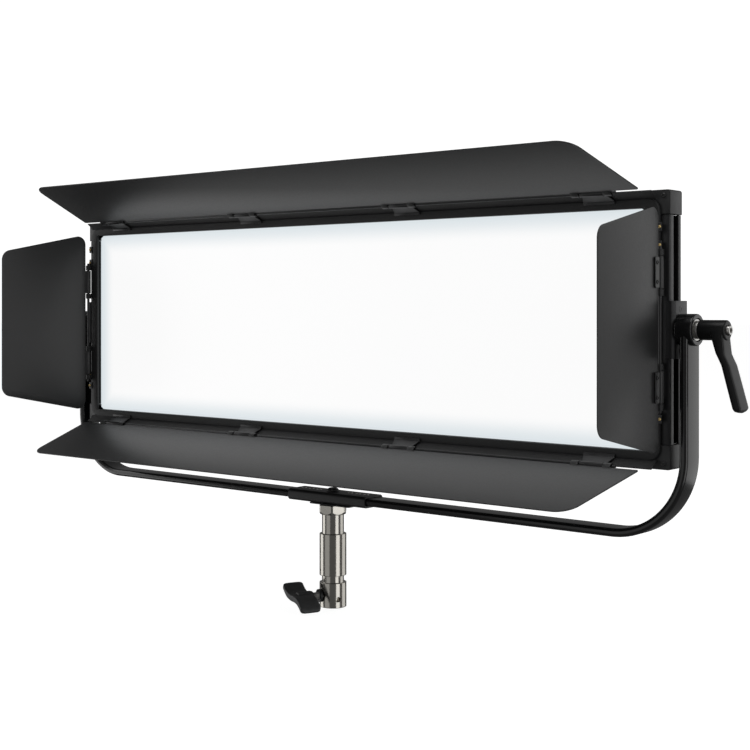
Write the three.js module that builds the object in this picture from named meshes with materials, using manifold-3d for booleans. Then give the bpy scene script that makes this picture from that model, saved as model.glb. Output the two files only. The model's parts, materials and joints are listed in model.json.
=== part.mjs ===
// LED panel light with four barn-door leaves, on a U-shaped yoke with a stand socket.
//
// Millimetres, +Z up. The origin is the centre of the socket's mouth at the foot of the
// stand pin. The light shines towards -Y, and +X is to the right of a person facing it.

import * as THREE from 'three';
import { mergeVertices } from 'three/addons/utils/BufferGeometryUtils.js';
import Module from 'manifold-3d';

const wasm = await Module();
wasm.setup();

// ---------------------------------------------------------------- driving dimensions

const GAP = 0.3; // between pieces that touch
const SHEET = 1.2; // sheet metal of leaves, plates and brackets

// Tilt axis: parallel to X through this point.
const PIVOT_Y = 2.5;
const PIVOT_Z = 298;

// Stand pin, a 1-1/8 in pin with a 5/8 in socket.
const PIN_R = 14.3;
const PIN_NECK_R = 11.7;
const SOCKET_R = 8.1;
const SOCKET_DEPTH = 62;
const COLLAR_TOP = 26;
const BODY_BOTTOM = 33.4;
const BODY_TOP = 77.5;
const HEX_BOTTOM = 99;
const PIN_TOP = 107.6;
const HEX_FLAT_R = 13.8;

// Yoke: a flat bar with round edges, bent to a U.
const YOKE_HALF = 415; // outer face of an arm from the middle
const BAR_T = 8; // thickness across the bend
const BAR_B = 26; // depth from front to back
const BEND_R = 75; // outer radius of the two bends
const BAR_BOTTOM = 111.5;
const HUB_R = 14;
const HUB_IN = 403;
const HUB_OUT = 419;
const STUD_R = 5;
const STUD_BORE_R = 5.4;
const RECESS_R = 10.2;
const RECESS_DEPTH = 2.6;

// Sleeve that joins the pin to the bar.
const SLEEVE_HALF = 54;
const SLEEVE_WALL = 1.7;

// Head: an aluminium frame of four rails and four corner blocks.
const HEAD_HALF_W = 397;
const HEAD_HALF_H = 122;
const FRONT_Y = -6.5;
const RAIL_BACK_Y = 14.7;
const CORNER_W = 28;
const CORNER_H = 21;
const PROUD = 0.7; // corner blocks stand out of the rails by this
const WINDOW_HALF_W = 378;
const WINDOW_HALF_H = 106.8;

// Barn-door frame and leaves.
const DOOR_HALF_W = 389;
const DOOR_HALF_H = 115;
const DOOR_BACK_Y = -7.5;
const DOOR_FRONT_Y = -11.4;
const ROD_R = 1.5;
const KNUCKLE_IN_R = 1.9;
const KNUCKLE_R = 3;
const LONG_AXIS_Y = -25;
const LONG_AXIS_Z = 121; // from the tilt axis
const LONG_START = 3.6; // the sheet starts this far from its hinge axis
const LONG_LENGTH = 99;
const LONG_HALF_AT_HINGE = 379;
const LONG_HALF_AT_TIP = 362;
const LONG_OPEN = { top: 112, bottom: 107 }; // degrees from closed
const LONG_HINGES_X = [-330, -110, 110, 330];
const SIDE_AXIS_X = 391.5;
const SIDE_AXIS_Y = -14.2;
const SIDE_START = 4;
const SIDE_LENGTH = 114;
const SIDE_HALF_AT_HINGE = 108.5;
const SIDE_HALF_AT_TIP = 85;
const SIDE_OPEN = { left: 100, right: 92 };
const SIDE_HINGES_Z = [-50, 50];
const SIDE_KNUCKLE = 28;

// Back of the head.
const SHELL_BACK_Y = 31;
const SHELL_HALF_W = 386;
const SHELL_HALF_H = 116;
const OPENING_HALF_W = 364;
const OPENING_HALF_H = 97;
const BOARD_HALF_W = 368;
const BOARD_HALF_H = 98;
const SINK_HALF_W = 370;
const SINK_HALF_H = 103;
const SINK_FRONT_Y = 31.4;
const SINK_BASE = 4;
const FIN_BACK_Y = 56;
const BOX_BACK_Y = 68;
const BOX_HALF_W = 118;
const BOX_HALF_H = 92;

// Clamping screw of the socket.
const SCREW_Z = 12.4;
const SCREW_TURN = -113; // degrees of its axis in the XY plane
const SCREW_R = 4;

// ---------------------------------------------------------------- finishes

const finish = (color, roughness, metalness) => () =>
  new THREE.MeshStandardMaterial({ color, roughness, metalness });
const blackSheet = finish(0x343536, 0.75, 0.2);
const blackAnodised = finish(0x3a3b3e, 0.45, 0.5);
const blackPaint = finish(0x17181a, 0.3, 0.3);
const greySteel = finish(0x6d6d6b, 0.4, 0.8);
const nickel = finish(0xa9a296, 0.25, 1);
const blackPlastic = finish(0x26282a, 0.55, 0);
const opal = finish(0xf4f6f8, 0.5, 0);
const whiteSheet = finish(0xe8e8e6, 0.6, 0);
const board = finish(0xd9dcd6, 0.5, 0.1);
const darkGlass = finish(0x101418, 0.1, 0);
const brass = finish(0xb59a5a, 0.3, 1);

// ---------------------------------------------------------------- shapes

const rad = THREE.MathUtils.degToRad;

// Shape's x to +Y, its y to +Z, and its depth to +X.
const ALONG_X = new THREE.Matrix4().makeBasis(
  new THREE.Vector3(0, 1, 0),
  new THREE.Vector3(0, 0, 1),
  new THREE.Vector3(1, 0, 0),
);
// Shape's x to +X, its y to +Z, and its depth to -Y.
const ALONG_Y = new THREE.Matrix4().makeBasis(
  new THREE.Vector3(1, 0, 0),
  new THREE.Vector3(0, 0, 1),
  new THREE.Vector3(0, -1, 0),
);

// An arc of a shape gets twice as many steps as curveSegments says.
function extrude(shape, depth, bevel = 0, curveSegments = 1) {
  return new THREE.ExtrudeGeometry(shape, {
    depth: depth - 2 * bevel,
    curveSegments,
    bevelEnabled: bevel > 0,
    bevelThickness: bevel,
    bevelSize: bevel,
    bevelOffset: -bevel,
    bevelSegments: 1,
  }).translate(0, 0, bevel);
}
const extrudeX = (shape, from, to, bevel, steps) =>
  extrude(shape, to - from, bevel, steps).applyMatrix4(ALONG_X).translate(from, 0, 0);
const extrudeY = (shape, from, to, bevel, steps) =>
  extrude(shape, to - from, bevel, steps).applyMatrix4(ALONG_Y).translate(0, to, 0);
const extrudeZ = (shape, from, to, bevel, steps) =>
  extrude(shape, to - from, bevel, steps).translate(0, 0, from);

function polygon(points) {
  return new THREE.Shape(points.map(([x, y]) => new THREE.Vector2(x, y)));
}

function roundedRect(x0, x1, y0, y1, r) {
  const shape = new THREE.Shape();
  shape.moveTo(x0 + r, y0);
  shape.lineTo(x1 - r, y0);
  shape.absarc(x1 - r, y0 + r, r, -Math.PI / 2, 0);
  shape.absarc(x1 - r, y1 - r, r, 0, Math.PI / 2);
  shape.absarc(x0 + r, y1 - r, r, Math.PI / 2, Math.PI);
  shape.absarc(x0 + r, y0 + r, r, Math.PI, 1.5 * Math.PI);
  return shape;
}

function box(x0, x1, y0, y1, z0, z1) {
  return new THREE.BoxGeometry(x1 - x0, y1 - y0, z1 - z0).translate(
    (x0 + x1) / 2,
    (y0 + y1) / 2,
    (z0 + z1) / 2,
  );
}

// A cylinder between two values along an axis, at two coordinates across it.
function rodX(r, x0, x1, y = 0, z = 0, sides = 20) {
  return new THREE.CylinderGeometry(r, r, x1 - x0, sides)
    .rotateZ(-Math.PI / 2)
    .translate((x0 + x1) / 2, y, z);
}
function rodY(r, y0, y1, x = 0, z = 0, sides = 20) {
  return new THREE.CylinderGeometry(r, r, y1 - y0, sides).translate(x, (y0 + y1) / 2, z);
}
function rodZ(r, z0, z1, x = 0, y = 0, sides = 20) {
  return new THREE.CylinderGeometry(r, r, z1 - z0, sides)
    .rotateX(Math.PI / 2)
    .translate(x, y, (z0 + z1) / 2);
}

// A profile of [radius, height] turned about Z.
function turned(profile, sides) {
  const points = profile.map(([r, z]) => new THREE.Vector2(r, z));
  return new THREE.LatheGeometry(points, sides).rotateX(Math.PI / 2);
}

// ---------------------------------------------------------------- joins and cuts

function toSolid(geometry) {
  const bare = new THREE.BufferGeometry();
  bare.setAttribute('position', geometry.getAttribute('position'));
  bare.setIndex(geometry.getIndex());
  const merged = mergeVertices(bare, 1e-4);
  const index = merged.getIndex().array;
  const triangles = [];
  for (let i = 0; i < index.length; i += 3) {
    const [a, b, c] = [index[i], index[i + 1], index[i + 2]];
    if (a !== b && b !== c && c !== a) triangles.push(a, b, c);
  }
  return new wasm.Manifold(
    new wasm.Mesh({
      numProp: 3,
      vertProperties: merged.getAttribute('position').array,
      triVerts: new Uint32Array(triangles),
    }),
  );
}

function toGeometry(solid) {
  const mesh = solid.getMesh();
  const geometry = new THREE.BufferGeometry();
  geometry.setAttribute('position', new THREE.BufferAttribute(mesh.vertProperties, 3));
  geometry.setIndex(new THREE.BufferAttribute(mesh.triVerts, 1));
  geometry.computeVertexNormals();
  return geometry;
}

const joined = (...pieces) => toGeometry(pieces.map(toSolid).reduce((a, b) => a.add(b)));
const cut = (piece, ...tools) =>
  toGeometry(tools.map(toSolid).reduce((a, b) => a.subtract(b), toSolid(piece)));
const common = (a, b) => toGeometry(toSolid(a).intersect(toSolid(b)));

function add(group, name, geometry, material) {
  const mesh = new THREE.Mesh(geometry, material());
  mesh.name = name;
  group.add(mesh);
  return mesh;
}

const light = new THREE.Group();

// ---------------------------------------------------------------- stand pin and screw

// The screw's axis is its group's own +X, at the collar's middle height.
const screwGroup = new THREE.Group();
screwGroup.position.set(0, 0, SCREW_Z);
screwGroup.rotation.z = rad(SCREW_TURN);
light.add(screwGroup);

// A bore or rod square to the pin's axis, at a turn about Z and a height.
function across(r, from, to, turn, z, sides) {
  return rodX(r, from, to, 0, 0, sides).rotateZ(rad(turn)).translate(0, 0, z);
}

function standPin() {
  const edge = 0.8;
  const outside = turned(
    [
      [0, 0],
      [PIN_R - edge, 0],
      [PIN_R, edge],
      [PIN_R, COLLAR_TOP - edge],
      [PIN_R - edge, COLLAR_TOP],
      [PIN_NECK_R, COLLAR_TOP],
      [PIN_NECK_R, BODY_BOTTOM],
      [PIN_R - edge, BODY_BOTTOM],
      [PIN_R, BODY_BOTTOM + edge],
      [PIN_R, BODY_TOP - edge],
      [PIN_R - edge, BODY_TOP],
      [PIN_NECK_R, BODY_TOP],
      [PIN_NECK_R, HEX_BOTTOM + edge],
      [0, HEX_BOTTOM + edge],
    ],
    24,
  );
  const hexCorner = HEX_FLAT_R / Math.cos(Math.PI / 6);
  const hex = rodZ(hexCorner, HEX_BOTTOM, PIN_TOP, 0, 0, 6).rotateZ(rad(SCREW_TURN));
  const hexEdge = turned(
    [
      [0, HEX_BOTTOM - 1],
      [HEX_FLAT_R - 0.2, HEX_BOTTOM - 1],
      [hexCorner - 0.8, HEX_BOTTOM + 1.2],
      [hexCorner - 0.8, PIN_TOP],
      [0, PIN_TOP],
    ],
    18,
  );
  const screwHole = across(SCREW_R + 0.4, 4, 20, SCREW_TURN, SCREW_Z, 12);
  const safetyHole = across(2.3, 4, 20, -25, 9, 8);
  const sideHole = across(1.8, 4, 20, SCREW_TURN - 7, 39.5, 8);
  const socket = rodZ(SOCKET_R, -1, SOCKET_DEPTH, 0, 0, 24);
  const boltHole = rodZ(STUD_BORE_R, PIN_TOP - 26, PIN_TOP + 1, 0, 0, 16);
  return cut(
    joined(outside, common(hex, hexEdge)),
    socket,
    boltHole,
    screwHole,
    safetyHole,
    sideHole,
  );
}
add(light, 'stand_pin', standPin(), nickel);

// A brass thrust pad pushes on what is in the socket, without turning.
const PAD_IN = 6.4;
const PAD_T = 3;
add(screwGroup, 'clamp_pad', rodX(SCREW_R - 0.4, PAD_IN, PAD_IN + PAD_T, 0, 0, 12), brass);

// Threaded shank with a wing handle: an S-shaped paddle, its long axis tilted.
const WING_IN = 25;
const WING_OUT = 48;
const WING_HALF = 27;
const WING_T = 8.5;
const WING_TILT = 23;
const WING_SWAY = 5;
function wingScrew() {
  const shank = rodX(SCREW_R, PAD_IN + PAD_T + GAP, WING_IN + 4, 0, 0, 12);
  const hub = rodX(7, WING_IN - 3, WING_OUT - 6, 0, 0, 14);
  const upper = [];
  const lower = [];
  const steps = 10;
  for (let i = 0; i <= steps; i++) {
    const s = (2 * i) / steps - 1;
    const middle = WING_SWAY * Math.sin(Math.PI * s);
    const half = (WING_T / 2) * (1 - 0.35 * s * s);
    upper.push([WING_HALF * s, middle + half]);
    lower.unshift([WING_HALF * s, middle - half]);
  }
  const paddle = extrudeX(polygon([...lower, ...upper].reverse()), WING_IN, WING_OUT, 0);
  const outline = roundedRect(WING_IN, WING_OUT, -WING_HALF, WING_HALF, 9);
  const rounded = common(paddle, extrudeZ(outline, -WING_T * 2, WING_T * 2, 0));
  return joined(shank, hub, rounded).rotateX(rad(-WING_TILT));
}
add(screwGroup, 'wing_screw', wingScrew(), blackPlastic);

// ---------------------------------------------------------------- yoke

// Outline of the U in XZ with the bar at a given half thickness about its middle line.
function yokeOutline(half, top) {
  const middleX = YOKE_HALF - BAR_T / 2;
  const middleZ = BAR_BOTTOM + BAR_T / 2;
  const r = BEND_R - BAR_T / 2;
  const bendX = middleX - r;
  const bendZ = middleZ + r;
  const shape = new THREE.Shape();
  shape.moveTo(-middleX - half, top);
  shape.lineTo(-middleX - half, bendZ);
  shape.absarc(-bendX, bendZ, r + half, Math.PI, 1.5 * Math.PI);
  shape.absarc(bendX, bendZ, r + half, -Math.PI / 2, 0);
  shape.lineTo(middleX + half, top);
  shape.lineTo(middleX - half, top);
  shape.absarc(bendX, bendZ, r - half, 0, -Math.PI / 2, true);
  shape.absarc(-bendX, bendZ, r - half, 1.5 * Math.PI, Math.PI, true);
  shape.lineTo(-middleX + half, top);
  return shape;
}

function yoke() {
  const round = BAR_T / 2 - 0.6;
  const bar = new THREE.ExtrudeGeometry(yokeOutline(BAR_T / 2 - round, PIVOT_Z - round), {
    depth: BAR_B - 2 * round,
    curveSegments: 5,
    bevelThickness: round,
    bevelSize: round,
    bevelSegments: 2,
  })
    .translate(0, 0, round)
    .applyMatrix4(ALONG_Y)
    .translate(0, PIVOT_Y + BAR_B / 2, 0);
  const hubs = [-1, 1].map((side) => {
    const ends = [HUB_IN, HUB_OUT].map((x) => side * x).sort((a, b) => a - b);
    return rodX(HUB_R, ...ends, PIVOT_Y, PIVOT_Z, 20);
  });
  const bores = [-1, 1].flatMap((side) => {
    const through = [HUB_IN - 1, HUB_OUT + 1].map((x) => side * x).sort((a, b) => a - b);
    const recess = [HUB_OUT - RECESS_DEPTH, HUB_OUT + 1].map((x) => side * x).sort((a, b) => a - b);
    return [
      rodX(STUD_BORE_R, ...through, PIVOT_Y, PIVOT_Z, 16),
      rodX(RECESS_R, ...recess, PIVOT_Y, PIVOT_Z, 20),
    ];
  });
  const boltHole = rodZ(STUD_BORE_R, BAR_BOTTOM - 1, BAR_BOTTOM + BAR_T + 1, 0, 0, 16);
  return cut(joined(bar, ...hubs), ...bores, boltHole);
}
add(light, 'yoke', yoke(), blackPaint);

// Sleeve round the middle of the bar, with a row of holes in its top.
function yokeSleeve() {
  const reach = SLEEVE_WALL + GAP;
  const y0 = PIVOT_Y - BAR_B / 2;
  const y1 = PIVOT_Y + BAR_B / 2;
  const z0 = BAR_BOTTOM;
  const z1 = BAR_BOTTOM + BAR_T;
  const outer = roundedRect(y0 - reach, y1 + reach, z0 - reach, z1 + reach, 4);
  const inner = roundedRect(y0 - GAP, y1 + GAP, z0 - GAP, z1 + GAP, 2.2);
  const sleeve = extrudeX(outer, -SLEEVE_HALF, SLEEVE_HALF, 0);
  const channel = extrudeX(inner, -SLEEVE_HALF - 1, SLEEVE_HALF + 1, 0);
  const holes = [-44, -33, -22, 22, 33, 44].map((x) =>
    rodZ(2.6, z1 - 1, z1 + reach + 1, x, PIVOT_Y, 8),
  );
  const boltHole = rodZ(STUD_BORE_R, z0 - reach - 1, z1 + reach + 1, 0, 0, 16);
  return cut(sleeve, channel, ...holes, boltHole);
}
add(light, 'yoke_sleeve', yokeSleeve(), blackPaint);

const SLEEVE_BOTTOM = BAR_BOTTOM - SLEEVE_WALL - GAP;
const SLEEVE_TOP = BAR_BOTTOM + BAR_T + SLEEVE_WALL + GAP;
const padShape = roundedRect(-25, 31, PIVOT_Y - 13.5, PIVOT_Y + 13.5, 3);
add(
  light,
  'yoke_pad',
  cut(extrudeZ(padShape, PIN_TOP + GAP, SLEEVE_BOTTOM - GAP, 0), rodZ(STUD_BORE_R, 100, 120, 0, 0, 16)),
  blackPlastic,
);

// Domed bolt, from the sleeve's top down into the pin.
const BOLT_HEAD_R = 6.6;
function yokeBolt() {
  const head = SLEEVE_TOP + GAP;
  return turned(
    [
      [0, PIN_TOP - 24],
      [STUD_R - 0.6, PIN_TOP - 24],
      [STUD_R, PIN_TOP - 23.4],
      [STUD_R, head],
      [BOLT_HEAD_R, head],
      [BOLT_HEAD_R, head + 1.2],
      [BOLT_HEAD_R * 0.8, head + 3],
      [BOLT_HEAD_R * 0.4, head + 4],
      [0, head + 4.3],
    ],
    16,
  );
}
add(light, 'yoke_bolt', yokeBolt(), blackPaint);

// ---------------------------------------------------------------- head frame

// From here the head's own frame: the tilt axis is its X axis.
const head = new THREE.Group();
head.position.set(0, PIVOT_Y, PIVOT_Z);
light.add(head);
const front = FRONT_Y - PIVOT_Y;
const railBack = RAIL_BACK_Y - PIVOT_Y;

// Rail section as [depth, distance out]: a lip and a groove for the diffuser inside,
// and a T-slot in the outer face.
function railSection(outer, window) {
  const lip = 1.6;
  const groove = 3.6;
  const slotMiddle = (front + railBack) / 2 + 1;
  const mouth = 4.6;
  const cavity = 7.1;
  return [
    [front, window],
    [front + lip, window],
    [front + lip, window + 5],
    [front + lip + groove, window + 5],
    [front + lip + groove, window + 1.2],
    [railBack, window + 1.2],
    [railBack, outer],
    [slotMiddle + mouth, outer],
    [slotMiddle + mouth, outer - 2],
    [slotMiddle + cavity, outer - 2],
    [slotMiddle + cavity, outer - 6.5],
    [slotMiddle - cavity, outer - 6.5],
    [slotMiddle - cavity, outer - 2],
    [slotMiddle - mouth, outer - 2],
    [slotMiddle - mouth, outer],
    [front, outer],
  ];
}

const longRail = HEAD_HALF_W - CORNER_W - GAP;
const shortRail = HEAD_HALF_H - CORNER_H - GAP;
const longSection = railSection(HEAD_HALF_H, WINDOW_HALF_H);
const shortSection = railSection(HEAD_HALF_W, WINDOW_HALF_W);
add(head, 'rail_top', extrudeX(polygon(longSection), -longRail, longRail, 0), blackAnodised);
add(
  head,
  'rail_bottom',
  extrudeX(polygon(longSection.map(([y, z]) => [y, -z]).reverse()), -longRail, longRail, 0),
  blackAnodised,
);
add(
  head,
  'rail_right',
  extrudeZ(polygon(shortSection.map(([y, x]) => [x, y]).reverse()), -shortRail, shortRail, 0),
  blackAnodised,
);
add(
  head,
  'rail_left',
  extrudeZ(polygon(shortSection.map(([y, x]) => [-x, y])), -shortRail, shortRail, 0),
  blackAnodised,
);

// Corner block, made at the top right and turned or mirrored by its signs.
function cornerBlock(sx, sz) {
  const span = (a, b, s) => [s * a, s * b].sort((p, q) => p - q);
  const solidBox = (x0, x1, y0, y1, z0, z1) =>
    box(...span(x0, x1, sx), y0, y1, ...span(z0, z1, sz));
  const outline = roundedRect(
    ...span(HEAD_HALF_W - CORNER_W, HEAD_HALF_W + PROUD, sx),
    ...span(HEAD_HALF_H - CORNER_H, HEAD_HALF_H + PROUD, sz),
    1.5,
  );
  const block = extrudeY(outline, front - PROUD, railBack + PROUD, 0.6);
  const x0 = HEAD_HALF_W - CORNER_W - 1;
  const z0 = HEAD_HALF_H - CORNER_H - 1;
  const back = railBack + 2;
  const window = solidBox(x0, WINDOW_HALF_W, front - 2, back, z0, WINDOW_HALF_H);
  const pocket = solidBox(
    x0,
    WINDOW_HALF_W + 5,
    front + 1.6,
    front + 5.2,
    z0,
    WINDOW_HALF_H + 5,
  );
  const screwHole = rodY(2.6, front - 2, front + 1.4, sx * 391.5, sz * 117.4, 8);
  return cut(block, window, pocket, screwHole);
}
for (const [xName, sx] of [['left', -1], ['right', 1]]) {
  for (const [zName, sz] of [['bottom', -1], ['top', 1]]) {
    add(head, `corner_block_${zName}_${xName}`, cornerBlock(sx, sz), blackPlastic);
  }
}

// Pivot bracket on each side rail, wrapped round the rail's front edge.
const BRACKET_IN = HEAD_HALF_W + GAP;
const BRACKET_OUT = 402.6;
const BRACKET_HALF_H = 25.3;
function pivotBracket(side) {
  const y0 = front - GAP - 2.4;
  const y1 = railBack + 0.6;
  const outline = [
    [BRACKET_IN - 3.5, y0],
    [BRACKET_OUT - 3, y0],
    [BRACKET_OUT - 0.9, y0 + 0.9],
    [BRACKET_OUT, y0 + 3],
    [BRACKET_OUT, y1],
    [BRACKET_IN, y1],
    [BRACKET_IN, front - GAP],
    [BRACKET_IN - 3.5, front - GAP],
  ];
  const shape = side > 0 ? outline : outline.map(([x, y]) => [-x, y]).reverse();
  const ends = [BRACKET_IN - 1, BRACKET_OUT + 1].map((x) => side * x).sort((a, b) => a - b);
  return cut(
    extrudeZ(polygon(shape), -BRACKET_HALF_H, BRACKET_HALF_H, 0),
    rodX(STUD_BORE_R, ...ends, 0, 0, 16),
    rodX(2.7, ...ends, 0, 18, 8),
    rodX(2.7, ...ends, 0, -18, 8),
  );
}
add(head, 'pivot_bracket_right', pivotBracket(1), blackAnodised);
add(head, 'pivot_bracket_left', pivotBracket(-1), blackAnodised);

// Right: a threaded stud that the tilt lever clamps. Left: a plain bolt with a flat head.
const STUD_END = 436;
const BOLT_CAP_R = 9;
add(head, 'pivot_stud', rodX(STUD_R, BRACKET_IN, STUD_END, 0, 0, 16), greySteel);
function pivotBolt() {
  const under = HUB_OUT + GAP;
  return turned(
    [
      [0, BRACKET_IN],
      [STUD_R, BRACKET_IN],
      [STUD_R, under],
      [BOLT_CAP_R, under],
      [BOLT_CAP_R, under + 3],
      [BOLT_CAP_R - 1.5, under + 4.5],
      [0, under + 4.5],
    ],
    16,
  ).rotateY(-Math.PI / 2);
}
add(head, 'pivot_bolt_left', pivotBolt(), blackPaint);

// ---------------------------------------------------------------- tilt lever

// A washer in the hub's recess, a threaded insert on the stud, and a ratchet lever on it.
const WASHER_IN = HUB_OUT - RECESS_DEPTH + GAP;
const WASHER_OUT = WASHER_IN + 1.6;
const INSERT_IN = WASHER_OUT + GAP;
const LEVER_IN = 421.6;
const LEVER_OUT = 447;
const LEVER_WALL = 443.5;
const LEVER_R = 8.8;
const INSERT_R = 6.2;
const CAP_R = 4.1;
const CAP_OUT = 449.6;
const ARM_LENGTH = 70;

const washer = turned(
  [
    [STUD_BORE_R, 0],
    [RECESS_R - 0.7, 0],
    [RECESS_R - 0.7, WASHER_OUT - WASHER_IN],
    [STUD_BORE_R, WASHER_OUT - WASHER_IN],
    [STUD_BORE_R, 0],
  ],
  20,
)
  .rotateY(Math.PI / 2)
  .translate(WASHER_IN, 0, 0);
add(head, 'lever_washer', washer, nickel);

// Insert with a closed outer end that carries the cap screw's head.
const insert = turned(
  [
    [STUD_BORE_R, INSERT_IN],
    [INSERT_R + 1.6, INSERT_IN],
    [INSERT_R + 1.6, LEVER_IN - GAP],
    [INSERT_R, LEVER_IN - GAP],
    [INSERT_R, 440],
    [CAP_R, 440],
    [CAP_R, CAP_OUT - 0.6],
    [CAP_R - 0.6, CAP_OUT],
    [0, CAP_OUT],
    [0, STUD_END + 1.5],
    [STUD_BORE_R, STUD_END + 1.5],
    [STUD_BORE_R, INSERT_IN],
  ],
  16,
).rotateY(Math.PI / 2);
const capSocket = rodX(2.4, CAP_OUT - 3, CAP_OUT + 1, 0, 0, 6);
add(head, 'lever_insert', cut(insert, capSocket), nickel);

// Lever: a round boss over the insert, and a flat arm that leans outwards as it goes down.
function tiltLever() {
  const boss = rodX(LEVER_R, LEVER_IN, LEVER_OUT, 0, 0, 20);
  const outline = new THREE.Shape();
  const topHalf = LEVER_R;
  const tipHalf = 8;
  const tipZ = -ARM_LENGTH + tipHalf;
  outline.moveTo(-topHalf, 0);
  outline.lineTo(-tipHalf, tipZ);
  outline.absarc(0, tipZ, tipHalf, Math.PI, 2 * Math.PI);
  outline.lineTo(topHalf, 0);
  outline.absarc(0, 0, topHalf, 0, Math.PI);
  const blade = extrude(outline, 60, 0, 3).applyMatrix4(ALONG_X).translate(LEVER_IN, 0, 0);
  // Side view of the arm: it leaves the boss's outer half and slopes to its tip.
  const side = new THREE.Shape();
  side.moveTo(LEVER_OUT, 6);
  side.lineTo(LEVER_IN + 12, 6);
  side.lineTo(LEVER_IN + 13, -6);
  side.quadraticCurveTo(LEVER_IN + 17.5, -12, LEVER_IN + 20, -22);
  side.lineTo(455.2, -ARM_LENGTH + 3);
  side.quadraticCurveTo(456, -ARM_LENGTH, 459, -ARM_LENGTH);
  side.quadraticCurveTo(462.6, -ARM_LENGTH, 462.2, -ARM_LENGTH + 4);
  side.lineTo(448.6, -8);
  side.quadraticCurveTo(LEVER_OUT, -2, LEVER_OUT, 6);
  const profile = extrudeY(side, -LEVER_R - 1, LEVER_R + 1, 0, 3);
  return cut(
    joined(boss, common(blade, profile)),
    rodX(INSERT_R + 0.4, LEVER_IN - 1, LEVER_WALL, 0, 0, 16),
    rodX(CAP_R + 0.4, LEVER_WALL - 1, LEVER_OUT + 20, 0, 0, 16),
  );
}
add(head, 'tilt_lever', tiltLever(), blackPlastic);

// ---------------------------------------------------------------- light engine

const diffuserFront = front + 1.6 + GAP;
const diffuserBack = diffuserFront + 3;
add(
  head,
  'diffuser',
  box(
    -WINDOW_HALF_W - 4.5,
    WINDOW_HALF_W + 4.5,
    diffuserFront,
    diffuserBack,
    -WINDOW_HALF_H - 4.5,
    WINDOW_HALF_H + 4.5,
  ),
  opal,
);

// White walls of the mixing chamber, open to the diffuser and to the LED board.
const shellBack = SHELL_BACK_Y - PIVOT_Y;
const chamberFront = diffuserBack + 2.4;
const chamberBack = shellBack - 4;
function trayWalls() {
  const halfW = WINDOW_HALF_W - 0.6;
  const halfH = WINDOW_HALF_H - 0.6;
  const outer = extrudeY(roundedRect(-halfW, halfW, -halfH, halfH, 6), chamberFront, chamberBack, 0);
  const inside = roundedRect(-halfW + 1.2, halfW - 1.2, -halfH + 1.2, halfH - 1.2, 5);
  return cut(outer, extrudeY(inside, chamberFront - 1, chamberBack + 1, 0));
}
add(head, 'reflector_walls', trayWalls(), whiteSheet);
const boardFront = chamberBack + GAP;
const boardPlate = box(
  -BOARD_HALF_W, BOARD_HALF_W, boardFront, boardFront + 1.6, -BOARD_HALF_H, BOARD_HALF_H,
);
add(head, 'led_board', boardPlate, board);

// Rear shell: a sheet ring behind the rails, drawn in towards the heat sink.
function rearShell() {
  const y0 = railBack + 1;
  const wall = 1.6;
  const bevel = 9;
  const outline = (less, r) =>
    roundedRect(less - SHELL_HALF_W, SHELL_HALF_W - less, less - SHELL_HALF_H, SHELL_HALF_H - less, r);
  const outer = extrudeY(outline(0, 14), y0 - bevel, shellBack, bevel);
  const behind = box(-400, 400, y0, 60, -130, 130);
  const inner = extrudeY(outline(wall, 13), y0 - bevel - 5, shellBack - wall, bevel);
  const hole = roundedRect(-OPENING_HALF_W, OPENING_HALF_W, -OPENING_HALF_H, OPENING_HALF_H, 4);
  const opening = extrudeY(hole, 0, 60, 0);
  return cut(common(outer, behind), inner, opening);
}
add(head, 'rear_shell', rearShell(), blackSheet);

// Heat sink: a base plate with upright fins on both sides of the control box.
const sinkFront = SINK_FRONT_Y - PIVOT_Y;
const finBack = FIN_BACK_Y - PIVOT_Y;
function heatSink() {
  const base = sinkFront + SINK_BASE;
  const pitch = 13;
  const finT = 2.4;
  const outline = [[-SINK_HALF_W, sinkFront], [SINK_HALF_W, sinkFront], [SINK_HALF_W, base]];
  const firstFin = BOX_HALF_W + 9;
  const fins = [];
  for (let x = firstFin; x + finT < 366; x += pitch) fins.push(x);
  for (const x of [...fins].reverse()) {
    outline.push([x + finT, base], [x + finT, finBack], [x, finBack], [x, base]);
  }
  for (const x of fins) {
    outline.push([-x, base], [-x, finBack], [-x - finT, finBack], [-x - finT, base]);
  }
  outline.push([-SINK_HALF_W, base]);
  return extrudeZ(polygon(outline), -SINK_HALF_H, SINK_HALF_H, 0);
}
add(head, 'heat_sink', heatSink(), blackAnodised);

// ---------------------------------------------------------------- control box

const boxFront = sinkFront + SINK_BASE + GAP;
const boxBack = BOX_BACK_Y - PIVOT_Y;
const boxWall = 2;

// Places on the back face, as [x, z] from the tilt axis.
const DISPLAY_AT = { x: 0, z: 48, halfW: 36, halfH: 21 };
const KNOBS = { dimmer_knob: [-78, 48], color_knob: [78, 48] };
const KNOB_R = 12;
const BUTTONS = { menu_button: [-24, 8], mode_button: [24, 8] };
const BUTTON_R = 6;
const SWITCH_AT = { x: -78, z: -52, halfW: 11, halfH: 14.5 };
const INLET_AT = { x: 0, z: -52, halfW: 19, halfH: 15 };
const DATA_AT = { x: 78, z: -52, r: 12 };

const mirroredRect = (at, grow) =>
  roundedRect(at.x - at.halfW - grow, at.x + at.halfW + grow, at.z - at.halfH - grow,
    at.z + at.halfH + grow, 2 + grow);

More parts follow.
